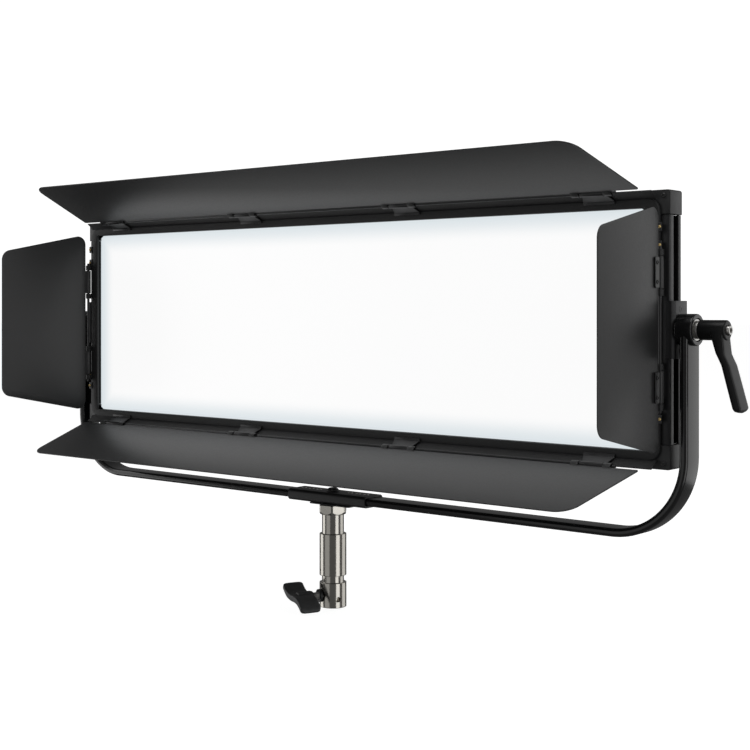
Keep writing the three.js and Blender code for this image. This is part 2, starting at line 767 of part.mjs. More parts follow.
function controlBox() {
  const bevel = 5;
  const outer = extrudeY(
    roundedRect(-BOX_HALF_W, BOX_HALF_W, -BOX_HALF_H, BOX_HALF_H, 10),
    boxFront - bevel,
    boxBack,
    bevel,
  );
  const kept = box(-200, 200, boxFront, 100, -150, 150);
  const inner = extrudeY(
    roundedRect(-BOX_HALF_W + boxWall, BOX_HALF_W - boxWall, -BOX_HALF_H + boxWall,
      BOX_HALF_H - boxWall, 8),
    boxFront - 1,
    boxBack - bevel,
    0,
  );
  const panelHole = extrudeY(roundedRect(-104, 104, -78, 78, 5), boxBack - bevel - 1, 100, 0);
  return cut(common(outer, kept), inner, panelHole);
}
add(head, 'control_box', controlBox(), blackSheet);

const panelFront = boxBack - 4.4;
const panelBack = boxBack - 1.4;
function controlPanel() {
  const through = (shape) => extrudeY(shape, panelFront - 1, panelBack + 1, 0);
  const round = ([x, z], r) => rodY(r, panelFront - 1, panelBack + 1, x, z, 12);
  return cut(
    extrudeY(roundedRect(-104 + GAP, 104 - GAP, -78 + GAP, 78 - GAP, 4.7), panelFront, panelBack, 0),
    through(mirroredRect(DISPLAY_AT, GAP)),
    through(mirroredRect(SWITCH_AT, GAP)),
    through(mirroredRect(INLET_AT, GAP)),
    rodY(DATA_AT.r + GAP, panelFront - 1, panelBack + 1, DATA_AT.x, DATA_AT.z, 16),
    ...Object.values(KNOBS).map((at) => round(at, 3.6)),
    ...Object.values(BUTTONS).map((at) => round(at, BUTTON_R + GAP)),
  );
}
add(head, 'control_panel', controlPanel(), blackAnodised);

add(
  head,
  'display_window',
  extrudeY(mirroredRect(DISPLAY_AT, 0), panelFront, panelBack - 0.5, 0),
  darkGlass,
);

// Driver board behind the panel, with its transformer and capacitors as blocks.
function driverBoard() {
  const y0 = boxFront + 5;
  const plate = box(-95, 95, y0, y0 + 2, -74, 74);
  const blocks = [
    box(-80, -40, y0 + 1, y0 + 12, -20, 20),
    box(-20, 20, y0 + 1, y0 + 10, -22, 16),
    rodY(8, y0 + 1, y0 + 12, 45, 0, 10),
    rodY(8, y0 + 1, y0 + 12, 70, 0, 10),
  ];
  return joined(plate, ...blocks);
}
add(head, 'driver_board', driverBoard(), board);

function knob([x, z]) {
  const shaft = rodY(3, panelFront - 4, panelBack + 3, x, z, 10);
  const cap = rodY(KNOB_R, panelBack + 1, panelBack + 13, x, z, 18);
  const grip = rodY(KNOB_R - 1.2, panelBack + 12, panelBack + 14.2, x, z, 18);
  return joined(shaft, cap, grip);
}
for (const [name, at] of Object.entries(KNOBS)) add(head, name, knob(at), blackPlastic);

function button([x, z]) {
  const cap = rodY(BUTTON_R, panelFront + 0.5, panelBack + 2.6, x, z, 12);
  const rim = rodY(BUTTON_R + 1.4, panelFront - 1.6, panelFront - GAP, x, z, 12);
  const stem = rodY(2.5, panelFront - 1, panelFront + 1, x, z, 8);
  return joined(cap, rim, stem);
}
for (const [name, at] of Object.entries(BUTTONS)) add(head, name, button(at), blackPlastic);

// Rocker of the mains switch: a shallow V on its back face, one half pressed in.
const ROCKER_TILT = 8;
const rockerPivotY = panelBack - 1.5;
function rocker() {
  const halfH = SWITCH_AT.halfH - 2.4;
  const profile = [
    [-5, -halfH + 1.5],
    [2.6, -halfH],
    [1.2, 0],
    [2.6, halfH],
    [-5, halfH - 1.5],
  ];
  return extrudeX(polygon(profile), -SWITCH_AT.halfW + 2.4, SWITCH_AT.halfW - 2.4, 0);
}
const rockerMesh = add(head, 'power_rocker', rocker(), blackPlastic);
rockerMesh.position.set(SWITCH_AT.x, rockerPivotY, SWITCH_AT.z);
rockerMesh.rotation.x = rad(-ROCKER_TILT);
const bezel = cut(
  joined(
    extrudeY(mirroredRect(SWITCH_AT, 0), panelFront - 4, panelBack + 1, 0),
    extrudeY(mirroredRect(SWITCH_AT, 1.6), panelBack + GAP, panelBack + 1.5, 0),
  ),
  extrudeY(mirroredRect(SWITCH_AT, -1.8), panelFront - 6, panelBack + 3, 0),
);
add(head, 'switch_bezel', bezel, blackPlastic);

// Power inlet: a three-pin appliance inlet in a rectangular flange.
function powerInlet() {
  const body = extrudeY(mirroredRect(INLET_AT, 0), panelFront - 7, panelBack + 1, 0);
  const flange = extrudeY(mirroredRect(INLET_AT, 2), panelBack + GAP, panelBack + 2, 0);
  const { x, z } = INLET_AT;
  const cavity = box(x - 13, x + 13, panelFront - 5, panelBack + 3, z - 9, z + 9);
  const pins = [-7, 0, 7].map((dx) =>
    box(x + dx - 1, x + dx + 1, panelFront - 6, panelBack, z - 2.5, z + 2.5),
  );
  return joined(cut(joined(body, flange), cavity), ...pins);
}
add(head, 'power_inlet', powerInlet(), blackPlastic);

// Data socket: a round five-pin chassis socket.
function dataSocket() {
  const { x, z, r } = DATA_AT;
  const body = rodY(r, panelFront - 7, panelBack + 1, x, z, 16);
  const flange = extrudeY(roundedRect(x - 15, x + 15, z - 16, z + 16, 3), panelBack + GAP,
    panelBack + 2.2, 0);
  const cavity = rodY(r - 2.4, panelFront - 5, panelBack + 4, x, z, 16);
  const pins = [0, 1, 2, 3, 4].map((i) => {
    const turn = rad(-50 - 65 * i);
    return rodY(1, panelFront - 6, panelBack - 1, x + 5.5 * Math.cos(turn), z + 5.5 * Math.sin(turn), 6);
  });
  return joined(cut(joined(body, flange), cavity), ...pins);
}
add(head, 'data_socket', dataSocket(), blackPlastic);

// ---------------------------------------------------------------- barn-door frame

const doorBack = DOOR_BACK_Y - PIVOT_Y;
const doorFront = DOOR_FRONT_Y - PIVOT_Y;
const longAxisY = LONG_AXIS_Y - PIVOT_Y;
const sideAxisY = SIDE_AXIS_Y - PIVOT_Y;
const LUG = 6;

// Lugs for the side rods stand out of the frame's sides, one on each side of a knuckle.
function sideLugs(side) {
  const lugs = [];
  for (const z of SIDE_HINGES_Z) {
    for (const up of [-1, 1]) {
      const near = z + up * (SIDE_KNUCKLE / 2 + 0.5);
      const [z0, z1] = [near, near + up * LUG].sort((a, b) => a - b);
      const x = side * SIDE_AXIS_X;
      const xs = [side * (DOOR_HALF_W - 0.9), x + side].sort((a, b) => a - b);
      lugs.push(rodZ(KNUCKLE_R, z0, z1, x, sideAxisY, 10));
      lugs.push(box(...xs, sideAxisY, doorBack, z0, z1));
    }
  }
  return lugs;
}

// Flange along a long side, which rises forwards at a slant outside the hinge tongues.
const FLANGE_HALF = 386;
function longFlange(sz) {
  const section = [
    [doorFront + 1.3, DOOR_HALF_H - 1.1],
    [doorFront + 2.2, DOOR_HALF_H - 0.3],
    [longAxisY + 5.7, LONG_AXIS_Z + 1],
    [longAxisY + 5, LONG_AXIS_Z],
  ];
  const placed = section.map(([y, z]) => [y, sz * z]);
  return extrudeX(polygon(sz > 0 ? placed : placed.reverse()), -FLANGE_HALF, FLANGE_HALF, 0);
}

function doorFrame() {
  const outer = roundedRect(-DOOR_HALF_W, DOOR_HALF_W, -DOOR_HALF_H, DOOR_HALF_H, 11);
  const ring = extrudeY(outer, doorFront, doorBack, 1, 3);
  const window = box(-WINDOW_HALF_W, WINDOW_HALF_W, -40, 0, -WINDOW_HALF_H, WINDOW_HALF_H);
  const holes = [-1, 1].map((side) =>
    rodZ(KNUCKLE_IN_R, -80, 80, side * SIDE_AXIS_X, sideAxisY, 10),
  );
  const body = joined(ring, longFlange(-1), longFlange(1), ...sideLugs(-1), ...sideLugs(1));
  return cut(body, window, ...holes);
}
add(head, 'barndoor_frame', doorFrame(), blackSheet);

// Hinge bracket on a long side: a foot on the frame and a tongue that rises forwards
// at a slant and curls round the hinge rod.
const BRACKET_KNUCKLE = 24;
function hingeBracket(x, sz) {
  const foot = doorFront - GAP;
  const section = [
    [foot, 111.5],
    [foot, 114.6],
    [longAxisY + 3.6, LONG_AXIS_Z + 0.6],
    [longAxisY + 2.2, LONG_AXIS_Z - 0.9],
    [foot - SHEET, 112.9],
    [foot - SHEET, 111.5],
  ];
  const placed = section.map(([y, z]) => [y, sz * z]);
  const strip = extrudeX(polygon(sz > 0 ? placed : placed.reverse()), x - 16, x + 16, 0);
  // The tongue narrows from the foot to the knuckle.
  const plan = polygon([
    [x - 16, 100],
    [x + 16, 100],
    [x + 16, 114],
    [x + BRACKET_KNUCKLE / 2, LONG_AXIS_Z - 3],
    [x + BRACKET_KNUCKLE / 2, 130],
    [x - BRACKET_KNUCKLE / 2, 130],
    [x - BRACKET_KNUCKLE / 2, LONG_AXIS_Z - 3],
    [x - 16, 114],
  ]);
  const mask = extrudeY(plan, -60, 20, 0);
  if (sz < 0) mask.rotateY(Math.PI).translate(2 * x, 0, 0);
  const knuckle = rodX(KNUCKLE_R, x - BRACKET_KNUCKLE / 2, x + BRACKET_KNUCKLE / 2, longAxisY,
    sz * LONG_AXIS_Z, 10);
  const bore = rodX(KNUCKLE_IN_R, x - 20, x + 20, longAxisY, sz * LONG_AXIS_Z, 10);
  return cut(joined(common(strip, mask), knuckle), bore);
}
for (const [zName, sz] of [['top', 1], ['bottom', -1]]) {
  LONG_HINGES_X.forEach((x, i) => {
    add(head, `hinge_bracket_${zName}_${i + 1}`, hingeBracket(x, sz), greySteel);
  });
  add(
    head,
    `hinge_rod_${zName}`,
    rodX(ROD_R, -354, 354, longAxisY, sz * LONG_AXIS_Z, 10),
    greySteel,
  );
}
for (const [xName, sx] of [['left', -1], ['right', 1]]) {
  add(
    head,
    `hinge_rod_${xName}`,
    rodZ(ROD_R, -73, 73, sx * SIDE_AXIS_X, sideAxisY, 10),
    greySteel,
  );
}

// ---------------------------------------------------------------- leaves

// Outline of a leaf as [along the hinge, away from it], wider at the hinge.
function leafOutline(start, length, halfAtHinge, halfAtTip, hingeR, r) {
  const slope = Math.atan2(halfAtHinge - halfAtTip, length - start);
  const tipX = halfAtTip - r * (1 / Math.cos(slope) - Math.tan(slope));
  const tipU = length - r;
  const shape = new THREE.Shape();
  const hingeX = halfAtHinge - hingeR * (1 / Math.cos(slope) + Math.tan(slope));
  const hingeU = start + hingeR;
  shape.absarc(-hingeX, hingeU, hingeR, Math.PI - slope, 1.5 * Math.PI);
  shape.absarc(hingeX, hingeU, hingeR, -Math.PI / 2, slope);
  shape.absarc(tipX, tipU, r, slope, Math.PI / 2);
  shape.absarc(-tipX, tipU, r, Math.PI / 2, Math.PI - slope);
  return shape;
}

// Curls of a leaf round its rod, as solids in the leaf's own frame: the hinge axis is X,
// the sheet runs along +Z, and its inner face is towards +Y.
function curls(spans, start) {
  return spans.flatMap(([x0, x1]) => [
    rodX(KNUCKLE_R, x0, x1, 0, 0, 10),
    box(x0, x1, -SHEET / 2, SHEET / 2, 1, start + 1),
  ]);
}

function leaf(outline, spans, start, boreHalf) {
  const sheet = extrudeY(outline, -SHEET / 2, SHEET / 2, 0, 3);
  return cut(
    joined(sheet, ...curls(spans, start)),
    rodX(KNUCKLE_IN_R, -boreHalf, boreHalf, 0, 0, 10),
  );
}

// Long leaves: closed, one hangs from the top hinge and one stands on the bottom hinge.
const CURL = 8;
const longSpans = LONG_HINGES_X.flatMap((x) => {
  const inner = BRACKET_KNUCKLE / 2 + 0.5;
  return [
    [x - inner - CURL, x - inner],
    [x + inner, x + inner + CURL],
  ];
});
const longOutline = leafOutline(LONG_START, LONG_LENGTH, LONG_HALF_AT_HINGE, LONG_HALF_AT_TIP, 2, 19);
for (const [zName, sz] of [['top', 1], ['bottom', -1]]) {
  const hinge = new THREE.Group();
  hinge.position.set(0, longAxisY, sz * LONG_AXIS_Z);
  // From the sheet's own frame, the bottom leaf leans forwards by its opening, and the top
  // leaf is the same sheet turned over about the hinge.
  const open = rad(LONG_OPEN[zName]);
  hinge.rotation.x = sz > 0 ? Math.PI - open : open;
  head.add(hinge);
  add(hinge, `leaf_${zName}`, leaf(longOutline, longSpans, LONG_START, 400), blackSheet);
}

// Side leaves, with a riveted hinge plate over each knuckle on the outer face.
const sideSpans = SIDE_HINGES_Z.map((z) => [z - SIDE_KNUCKLE / 2, z + SIDE_KNUCKLE / 2]);
const sideOutline = leafOutline(SIDE_START, SIDE_LENGTH, SIDE_HALF_AT_HINGE, SIDE_HALF_AT_TIP, 10, 12);
function sidePlate(z) {
  const y1 = -SHEET / 2 - GAP;
  const plate = extrudeY(roundedRect(z - 13.5, z + 13.5, 5, 13, 1.5), y1 - SHEET, y1, 0);
  const rivets = [-8.5, 8.5].map((dz) => rodY(1.9, y1 - SHEET - 1, y1 - 0.4, z + dz, 9.3, 8));
  return joined(plate, ...rivets);
}
for (const [xName, sx] of [['left', -1], ['right', 1]]) {
  const hinge = new THREE.Group();
  hinge.position.set(sx * SIDE_AXIS_X, sideAxisY, 0);
  // The sheet's own frame laid on its side: its X along Z, its run along the opening.
  const open = rad(SIDE_OPEN[xName]);
  const away = new THREE.Vector3(-sx * Math.cos(open), -Math.sin(open), 0);
  const inner = new THREE.Vector3(-sx * Math.sin(open), Math.cos(open), 0);
  const along = new THREE.Vector3().crossVectors(inner, away);
  hinge.setRotationFromMatrix(new THREE.Matrix4().makeBasis(along, inner, away));
  head.add(hinge);
  add(hinge, `leaf_${xName}`, leaf(sideOutline, sideSpans, SIDE_START, 120), blackSheet);
  SIDE_HINGES_Z.forEach((z, i) => {
    add(hinge, `leaf_plate_${xName}_${i + 1}`, sidePlate(z), blackAnodised);
  });
}

export default light;
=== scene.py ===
# LED panel light with four barn-door leaves, on a U-shaped yoke with a stand socket.
# The sizes below are millimetres in the row's frame: +Z up, the light shines towards -Y,
# and the origin is the centre of the socket's mouth. A mesh is made metres as it is stored.
import json

import bmesh
import bpy
import numpy as np
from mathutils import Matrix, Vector


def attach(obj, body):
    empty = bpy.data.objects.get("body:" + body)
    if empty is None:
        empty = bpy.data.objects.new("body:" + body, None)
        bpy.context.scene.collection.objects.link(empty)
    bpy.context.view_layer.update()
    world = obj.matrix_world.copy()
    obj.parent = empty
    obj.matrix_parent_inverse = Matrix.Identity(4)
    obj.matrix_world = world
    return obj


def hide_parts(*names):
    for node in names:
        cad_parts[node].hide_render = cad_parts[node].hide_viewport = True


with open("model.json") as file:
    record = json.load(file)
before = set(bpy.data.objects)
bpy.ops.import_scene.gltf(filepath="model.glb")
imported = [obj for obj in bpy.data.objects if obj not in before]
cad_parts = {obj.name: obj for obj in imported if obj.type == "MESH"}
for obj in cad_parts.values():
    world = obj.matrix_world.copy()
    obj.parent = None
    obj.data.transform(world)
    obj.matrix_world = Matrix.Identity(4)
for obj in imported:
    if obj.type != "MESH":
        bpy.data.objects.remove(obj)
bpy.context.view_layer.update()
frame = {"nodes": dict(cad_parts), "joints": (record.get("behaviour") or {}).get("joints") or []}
joint_at = {j["name"]: 1000 * np.array(j.get("pos_m", (0, 0, 0))) for j in frame["joints"]}


# ------------------------------------------------------------------ camera, floor and lamps
# The eye is level with the lamp's upper half, in front of it and to its right. The floor is
# a pale sheet under the pin's foot, and five soft boxes light the blacks from the sides.
CAMERA_TURN = np.radians(39.6)
camera = bpy.data.cameras.new("camera")
camera.lens = 64.8
camera.sensor_width = 36.0
camera.shift_y = -0.0933
camera.clip_end = 30.0
eye = bpy.data.objects.new("camera", camera)
eye.location = (0.9491, -1.0772, 0.3196)
eye.rotation_euler = (np.pi / 2, 0.0, CAMERA_TURN)
bpy.context.scene.collection.objects.link(eye)
bpy.context.scene.camera = eye
bpy.context.scene.view_settings.view_transform = "Standard"

world = bpy.data.worlds.new("studio")
bpy.context.scene.world = world
world.use_nodes = True
sky = world.node_tree.nodes["Background"]
rays = world.node_tree.nodes.new("ShaderNodeLightPath")
seen = world.node_tree.nodes.new("ShaderNodeMapRange")
seen.inputs["To Min"].default_value = 0.12
seen.inputs["To Max"].default_value = 1.1
world.node_tree.links.new(rays.outputs["Is Camera Ray"], seen.inputs["Value"])
world.node_tree.links.new(seen.outputs["Result"], sky.inputs["Strength"])
sky.inputs["Color"].default_value = (1.0, 1.0, 1.0, 1.0)


def soft_box(name, at, towards, width, height, watts):
    """A rectangular area lamp at a place, turned to face a point."""
    lamp = bpy.data.lights.new(name, "AREA")
    lamp.shape = "RECTANGLE"
    lamp.size, lamp.size_y, lamp.energy = width, height, watts
    holder = bpy.data.objects.new(name, lamp)
    holder.location = at
    ray = Vector(towards) - Vector(at)
    holder.rotation_euler = ray.to_track_quat("-Z", "Y").to_euler()
    holder.visible_camera = False
    bpy.context.scene.collection.objects.link(holder)


soft_box("soft_box_right", (2.6, -0.25, 0.4), (0.3, 0.0, 0.3), 1.5, 3.2, 21.0)
soft_box("soft_box_left", (-2.4, -0.9, 0.4), (-0.2, 0.0, 0.3), 1.6, 3.2, 21.0)
soft_box("soft_box_front", (-0.5, -2.8, 0.4), (0.0, 0.0, 0.3), 2.2, 3.2, 8.0)
soft_box("soft_box_top", (0.2, -0.6, 2.6), (0.0, 0.0, 0.3), 2.4, 1.2, 24.0)
soft_box("soft_box_rim", (1.6, 2.4, 0.5), (0.3, 0.0, 0.3), 2.2, 2.8, 17.0)


# ------------------------------------------------------------------ stand pin
# A pin of turned steel, nickel plated: a thick body with a groove between it and the collar,
# a thinner neck, and a hexagon flange that the yoke's bolt pulls it against.
class Value:
    """A socket of a finish's node tree; arithmetic on it adds Math nodes."""

    def __init__(self, finish, socket):
        self.finish = finish
        self.socket = socket

    def math(self, operation, *terms):
        return self.finish.node(
            "ShaderNodeMath", {"operation": operation}, dict(enumerate(terms))
        )

    def __add__(self, other):
        return self.math("ADD", self, other)

    def __sub__(self, other):
        return self.math("SUBTRACT", self, other)

    def __rsub__(self, other):
        return self.math("SUBTRACT", other, self)

    def __mul__(self, other):
        return self.math("MULTIPLY", self, other)

    def __pow__(self, other):
        return self.math("POWER", self, other)

    def __abs__(self):
        return self.math("ABSOLUTE", self)

    __radd__ = __add__
    __rmul__ = __mul__


class Finish:
    """A Principled material; its constant values are set on the shader's own sockets."""

    def __init__(self, name, colour, roughness, metallic=0.0, **constants):
        self.material = bpy.data.materials.new(name)
        self.material.use_nodes = True
        self.tree = self.material.node_tree
        self.shader = self.tree.nodes["Principled BSDF"]
        self.colour = (*colour, 1.0)
        self.shader.inputs["Base Color"].default_value = self.colour
        self.shader.inputs["Roughness"].default_value = roughness
        self.shader.inputs["Metallic"].default_value = metallic
        for socket, value in constants.items():
            self.shader.inputs[socket.replace("_", " ")].default_value = value
        self.place = self.node("ShaderNodeTexCoord", out="Object")

    def node(self, kind, settings=None, inputs=None, out=0):
        """Adds a node: its settings first, then the values or links of its sockets."""
        made = self.tree.nodes.new(kind)
        for key, value in (settings or {}).items():
            if key == "stops":
                for stop, (at, colour) in zip(made.color_ramp.elements, value):
                    stop.position, stop.color = at, colour
            else:
                setattr(made, key, value)
        for key, value in (inputs or {}).items():
            if isinstance(value, Value):
                self.tree.links.new(value.socket, made.inputs[key])
            else:
                made.inputs[key].default_value = value
        return Value(self, made.outputs[out])

    def noise(self, scale, detail=2.0, stretch=(1.0, 1.0, 1.0)):
        """Noise of a scale per metre, on object coordinates stretched along each axis."""
        spread = self.node("ShaderNodeMapping", inputs={"Vector": self.place, "Scale": stretch})
        return self.node(
            "ShaderNodeTexNoise", inputs={"Vector": spread, "Scale": scale, "Detail": detail}
        )

    def tint(self, mask, other):
        """Base colour that goes from this finish's own to another by a mask."""
        mixed = self.node(
            "ShaderNodeMix",
            {"data_type": "RGBA"},
            {0: mask, 6: self.colour, 7: (*other, 1.0)},
            out=2,
        )
        self.feed("Base Color", mixed)

    def bump(self, height, strength, distance):
        """Normal from a height field, in metres at full strength."""
        raised = self.node(
            "ShaderNodeBump", inputs={"Height": height, "Strength": strength, "Distance": distance}
        )
        self.feed("Normal", raised)

    def feed(self, socket, value):
        self.tree.links.new(value.socket, self.shader.inputs[socket])


def rounded_path(corners, radius, steps=5):
    """Open path through corners (n x 2): each inner corner becomes an arc of the radius
    that touches both of its sides, drawn as its centre plus a spoke turned step by step."""
    p = np.asarray(corners, float)
    r = np.broadcast_to(np.asarray(radius, float), (len(p) - 2,))[:, None]
    into = p[1:-1] - p[:-2]
    into /= np.linalg.norm(into, axis=1)[:, None]
    out = p[2:] - p[1:-1]
    out /= np.linalg.norm(out, axis=1)[:, None]
    turn = np.arctan2(into[:, 0] * out[:, 1] - into[:, 1] * out[:, 0], (into * out).sum(1))
    turn = turn[:, None]
    spoke = -np.sign(turn) * np.stack([-into[:, 1], into[:, 0]], 1) * r
    centre = p[1:-1] - into * r * np.tan(abs(turn) / 2) - spoke
    angle = turn * np.linspace(0, 1, steps + 1)
    x = spoke[:, :1] * np.cos(angle) - spoke[:, 1:] * np.sin(angle)
    y = spoke[:, :1] * np.sin(angle) + spoke[:, 1:] * np.cos(angle)
    arcs = (centre[:, None] + np.stack([x, y], -1)).reshape(-1, 2)
    return np.concatenate([p[:1], arcs, p[-1:]])


def rounded_outline(corners, radius, steps=5):
    """Closed outline with every corner an arc: the open path over the corners and the
    first two again, without its two loose ends."""
    p = np.asarray(corners, float)
    r = np.broadcast_to(np.asarray(radius, float), (len(p),))
    return rounded_path(np.concatenate([p[-1:], p, p[:1]]), r, steps)[1:-1]


def round_bar(profile, sides=96, reach=None):
    """Surface of revolution about the third axis: a ring of radius r at each height of the
    profile (n x 2). reach(r, turn, height) may change the radius round a ring."""
    turn = np.linspace(0, 2 * np.pi, sides, endpoint=False)[None, :]
    r, height = profile[:, :1], profile[:, 1:]
    r = r + 0 * turn if reach is None else reach(r, turn, height)
    return np.stack([r * np.cos(turn), r * np.sin(turn), height + 0 * turn], -1)


AXES = {"x": (2, 0, 1), "y": (0, 2, 1), "z": (0, 1, 2)}


def stand(rings, axis, at=(0, 0, 0)):
    """Rings with their height turned along an axis of the row's frame, moved to a place."""
    return rings[..., AXES[axis]] + np.asarray(at, float)


def piece(name, body, finish, shells, node=None, sharp=38):
    """An object of closed shells (rows x columns x 3, each row a closed ring). An open shell
    gets a flat face over each end, and one marked "loop" joins its last row to its first.
    A shell of negative volume is turned inside out. It rides on a body, and stands for a
    CAD node if one is named."""
    points, faces, first = [], [], 0
    for shell in shells:
        rings, loop = shell if isinstance(shell, tuple) else (shell, False)
        rows, columns = rings.shape[:2]
        flat = rings.reshape(-1, 3)
        i = np.arange(rows if loop else rows - 1)[:, None]
        j = np.arange(columns)[None, :]
        k = (j + 1) % columns
        above = (i + 1) % rows * columns
        quads = np.stack([i * columns + j, i * columns + k, above + k, above + j], -1)
        quads = quads.reshape(-1, 4)
        a, b, c, d = (flat[quads[:, n]] - flat[0] for n in range(4))
        volume = (a * np.cross(b, c)).sum() + (a * np.cross(c, d)).sum()
        caps = []
        if not loop:
            caps = [np.arange(columns)[::-1], np.arange(columns) + (rows - 1) * columns]
            for cap in caps:
                q = flat[cap] - flat[0]
                volume += (q[0] * np.cross(q[1:-1], q[2:])).sum()
        outwards = 1 if volume > 0 else -1
        faces += [(first + quad[::outwards]).tolist() for quad in [*quads, *caps]]
        points.append(flat)
        first += len(flat)
    mesh = bpy.data.meshes.new(name)
    mesh.from_pydata((np.concatenate(points) / 1000).tolist(), [], faces)
    mesh.materials.append(finish.material)
    mesh.shade_smooth()
    mesh.set_sharp_from_angle(angle=np.radians(sharp))
    made = bpy.data.objects.new(name, mesh)
    bpy.context.scene.collection.objects.link(made)
    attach(made, body)
    if node:
        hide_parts(node)
    return made


nickel = Finish("nickel_plate", (0.5, 0.48, 0.44), 0.22, 1.0)
turning = nickel.noise(260.0, 3.0, (0.15, 0.15, 6.0))
nickel.feed("Roughness", 0.1 + 0.12 * nickel.noise(90.0, 4.0, (0.3, 0.3, 3.0)))
nickel.tint(nickel.noise(40.0, 3.0) ** 2.0, (0.44, 0.42, 0.38))
nickel.bump(turning, 0.22, 0.0001)

PIN_PROFILE = [
    (0.05, 62), (8.1, 62), (8.1, 0.7), (8.9, 0), (14.3, 0), (14.3, 26), (11.7, 26),
    (11.7, 33.4), (14.3, 33.4), (14.3, 77.5), (11.7, 77.5), (11.7, 98), (13.6, 98),
    (15.3, 100.6), (15.3, 107.6), (0.05, 107.6),
]
CLAMP_DEGREES, CLAMP_LEVEL = -113, 12.4
CLAMP_TURN = np.radians(CLAMP_DEGREES)
PIN_R = 14.3
HEX_FROM, HEX_FLAT_R = 97.9, 13.8
PIT_DEPTH = 4.5
PIN_HOLES = [  # turn in degrees, height, radius
    (CLAMP_DEGREES, CLAMP_LEVEL, 4.4), (-25, 9.0, 2.3), (-120, 39.5, 1.8),
]


def pin_reach(r, turn, height):
    """The pin's radius: a hexagon 27.6 across its flats above the neck, and round pits
    where a hole is drilled, smooth over 0.4 mm at their rims."""
    facet = (turn - CLAMP_TURN) % (np.pi / 3) - np.pi / 6
    hexagon = np.where(height > HEX_FROM, HEX_FLAT_R / np.cos(facet), np.inf)
    pits = np.zeros_like(r + turn)
    for degrees, level, size in PIN_HOLES:
        away = (turn - np.radians(degrees) + np.pi) % (2 * np.pi) - np.pi
        from_hole = np.hypot(away * PIN_R, height - level)
        inside = np.clip((size + 0.2 - from_hole) / 0.4, 0, 1) * (abs(away) < 1)
        pits = np.maximum(pits, inside * PIT_DEPTH * (r > 11))
    return np.minimum(r + 0 * turn, hexagon) - pits


def finely(profile, step):
    """A profile with points added so that no two are further apart than a step."""
    ahead = np.linalg.norm(np.diff(profile, axis=0), axis=1)
    along = np.concatenate([[0], np.cumsum(ahead)])
    added = [np.linspace(a, b, max(int(np.ceil((b - a) / step)), 1), endpoint=False)
             for a, b in zip(along[:-1], along[1:]) if b > a]
    at = np.concatenate([*added, along[-1:]])
    return np.stack([np.interp(at, along, profile[:, n]) for n in (0, 1)], 1)


pin_profile = finely(rounded_path(PIN_PROFILE, 0.35, 3), 0.7)
piece("turned_pin", "yoke", nickel, [round_bar(pin_profile, 240, pin_reach)], "stand_pin", 30)


# ------------------------------------------------------------------ clamping screw
# A steel screw with a moulded wing handle goes through the collar, with a black locking
# ring on it, and pushes a brass pad against the stud in the socket.
def about_screw(rings):
    """Rings made about +X, turned to the screw's direction and lifted to its height."""
    cos, sin = np.cos(CLAMP_TURN), np.sin(CLAMP_TURN)
    x, y, z = rings[..., 0], rings[..., 1], rings[..., 2]
    return np.stack([x * cos - y * sin, x * sin + y * cos, z + CLAMP_LEVEL], -1)


def thread(r, length_from, length_to, pitch, depth, sides=40):
    """A threaded rod about the third axis: the radius falls by a triangle wave whose phase
    is the height over the pitch less the turn."""
    height = np.arange(length_from, length_to, pitch / 5)
    profile = np.stack([np.full_like(height, r), height], 1)

    def wave(radius, turn, level):
        phase = (level / pitch - turn / (2 * np.pi)) % 1.0
        return radius - depth * (1 - abs(2 * phase - 1))

    return round_bar(profile, sides, wave)


steel = Finish("bright_steel", (0.55, 0.54, 0.52), 0.3, 1.0)
steel.feed("Roughness", 0.24 + 0.2 * steel.noise(300.0, 3.0))
brass = Finish("turned_brass", (0.62, 0.46, 0.2), 0.3, 1.0)
brass.feed("Roughness", 0.24 + 0.2 * brass.noise(260.0, 3.0))
moulded = Finish("moulded_black", (0.018, 0.0185, 0.019), 0.42, 0.0, Specular_IOR_Level=0.45)
moulded.feed("Roughness", 0.34 + 0.18 * moulded.noise(120.0, 3.0))
moulded.bump(moulded.noise(900.0, 2.0), 0.1, 0.0002)

clamp_thread = stand(thread(4.0, 9.7, 27.0, 1.25, 0.6), "x")
piece("clamp_thread", "wing_screw", steel, [about_screw(clamp_thread)])
ring_profile = rounded_outline([(4.3, 14.6), (6.9, 14.6), (6.9, 17.4), (4.3, 17.4)], 0.5, 3)
locking_ring = stand(round_bar(ring_profile, 48), "x")
piece("locking_ring", "yoke", moulded, [(about_screw(locking_ring), True)])
pad_profile = rounded_path([(0.05, 6.4), (3.6, 6.4), (3.6, 9.4), (0.05, 9.4)], 0.4, 3)
brass_pad = stand(round_bar(pad_profile, 40), "x")
piece("brass_pad", "clamp_pad", brass, [about_screw(brass_pad)], "clamp_pad")


def wing():
    """The handle's paddle, about +X: at each place s along its length a superellipse whose
    middle sways as a sine of s, and whose two half sizes shrink at the tips."""
    s = np.sin(np.linspace(-np.pi / 2, np.pi / 2, 61))[:, None]
    turn = np.linspace(0, 2 * np.pi, 56, endpoint=False)[None, :]
    tip = np.clip(1 - np.clip((abs(s) * 27 - 23) / 4, 0, 1) ** 2.5, 0, 1) ** 0.4
    half_width = 11.5 * (0.4 + 0.6 * tip)
    half_thick = (4.2 - 2.0 * abs(s)) * (0.2 + 0.8 * tip)
    cos, sin = np.cos(turn), np.sin(turn)
    x = 36.5 + half_width * np.sign(cos) * abs(cos) ** 0.32
    z = 3.4 * np.sin(np.pi * s) + half_thick * np.sign(sin) * abs(sin) ** 0.32
    return np.stack([x, 27 * s + 0 * turn, z], -1)


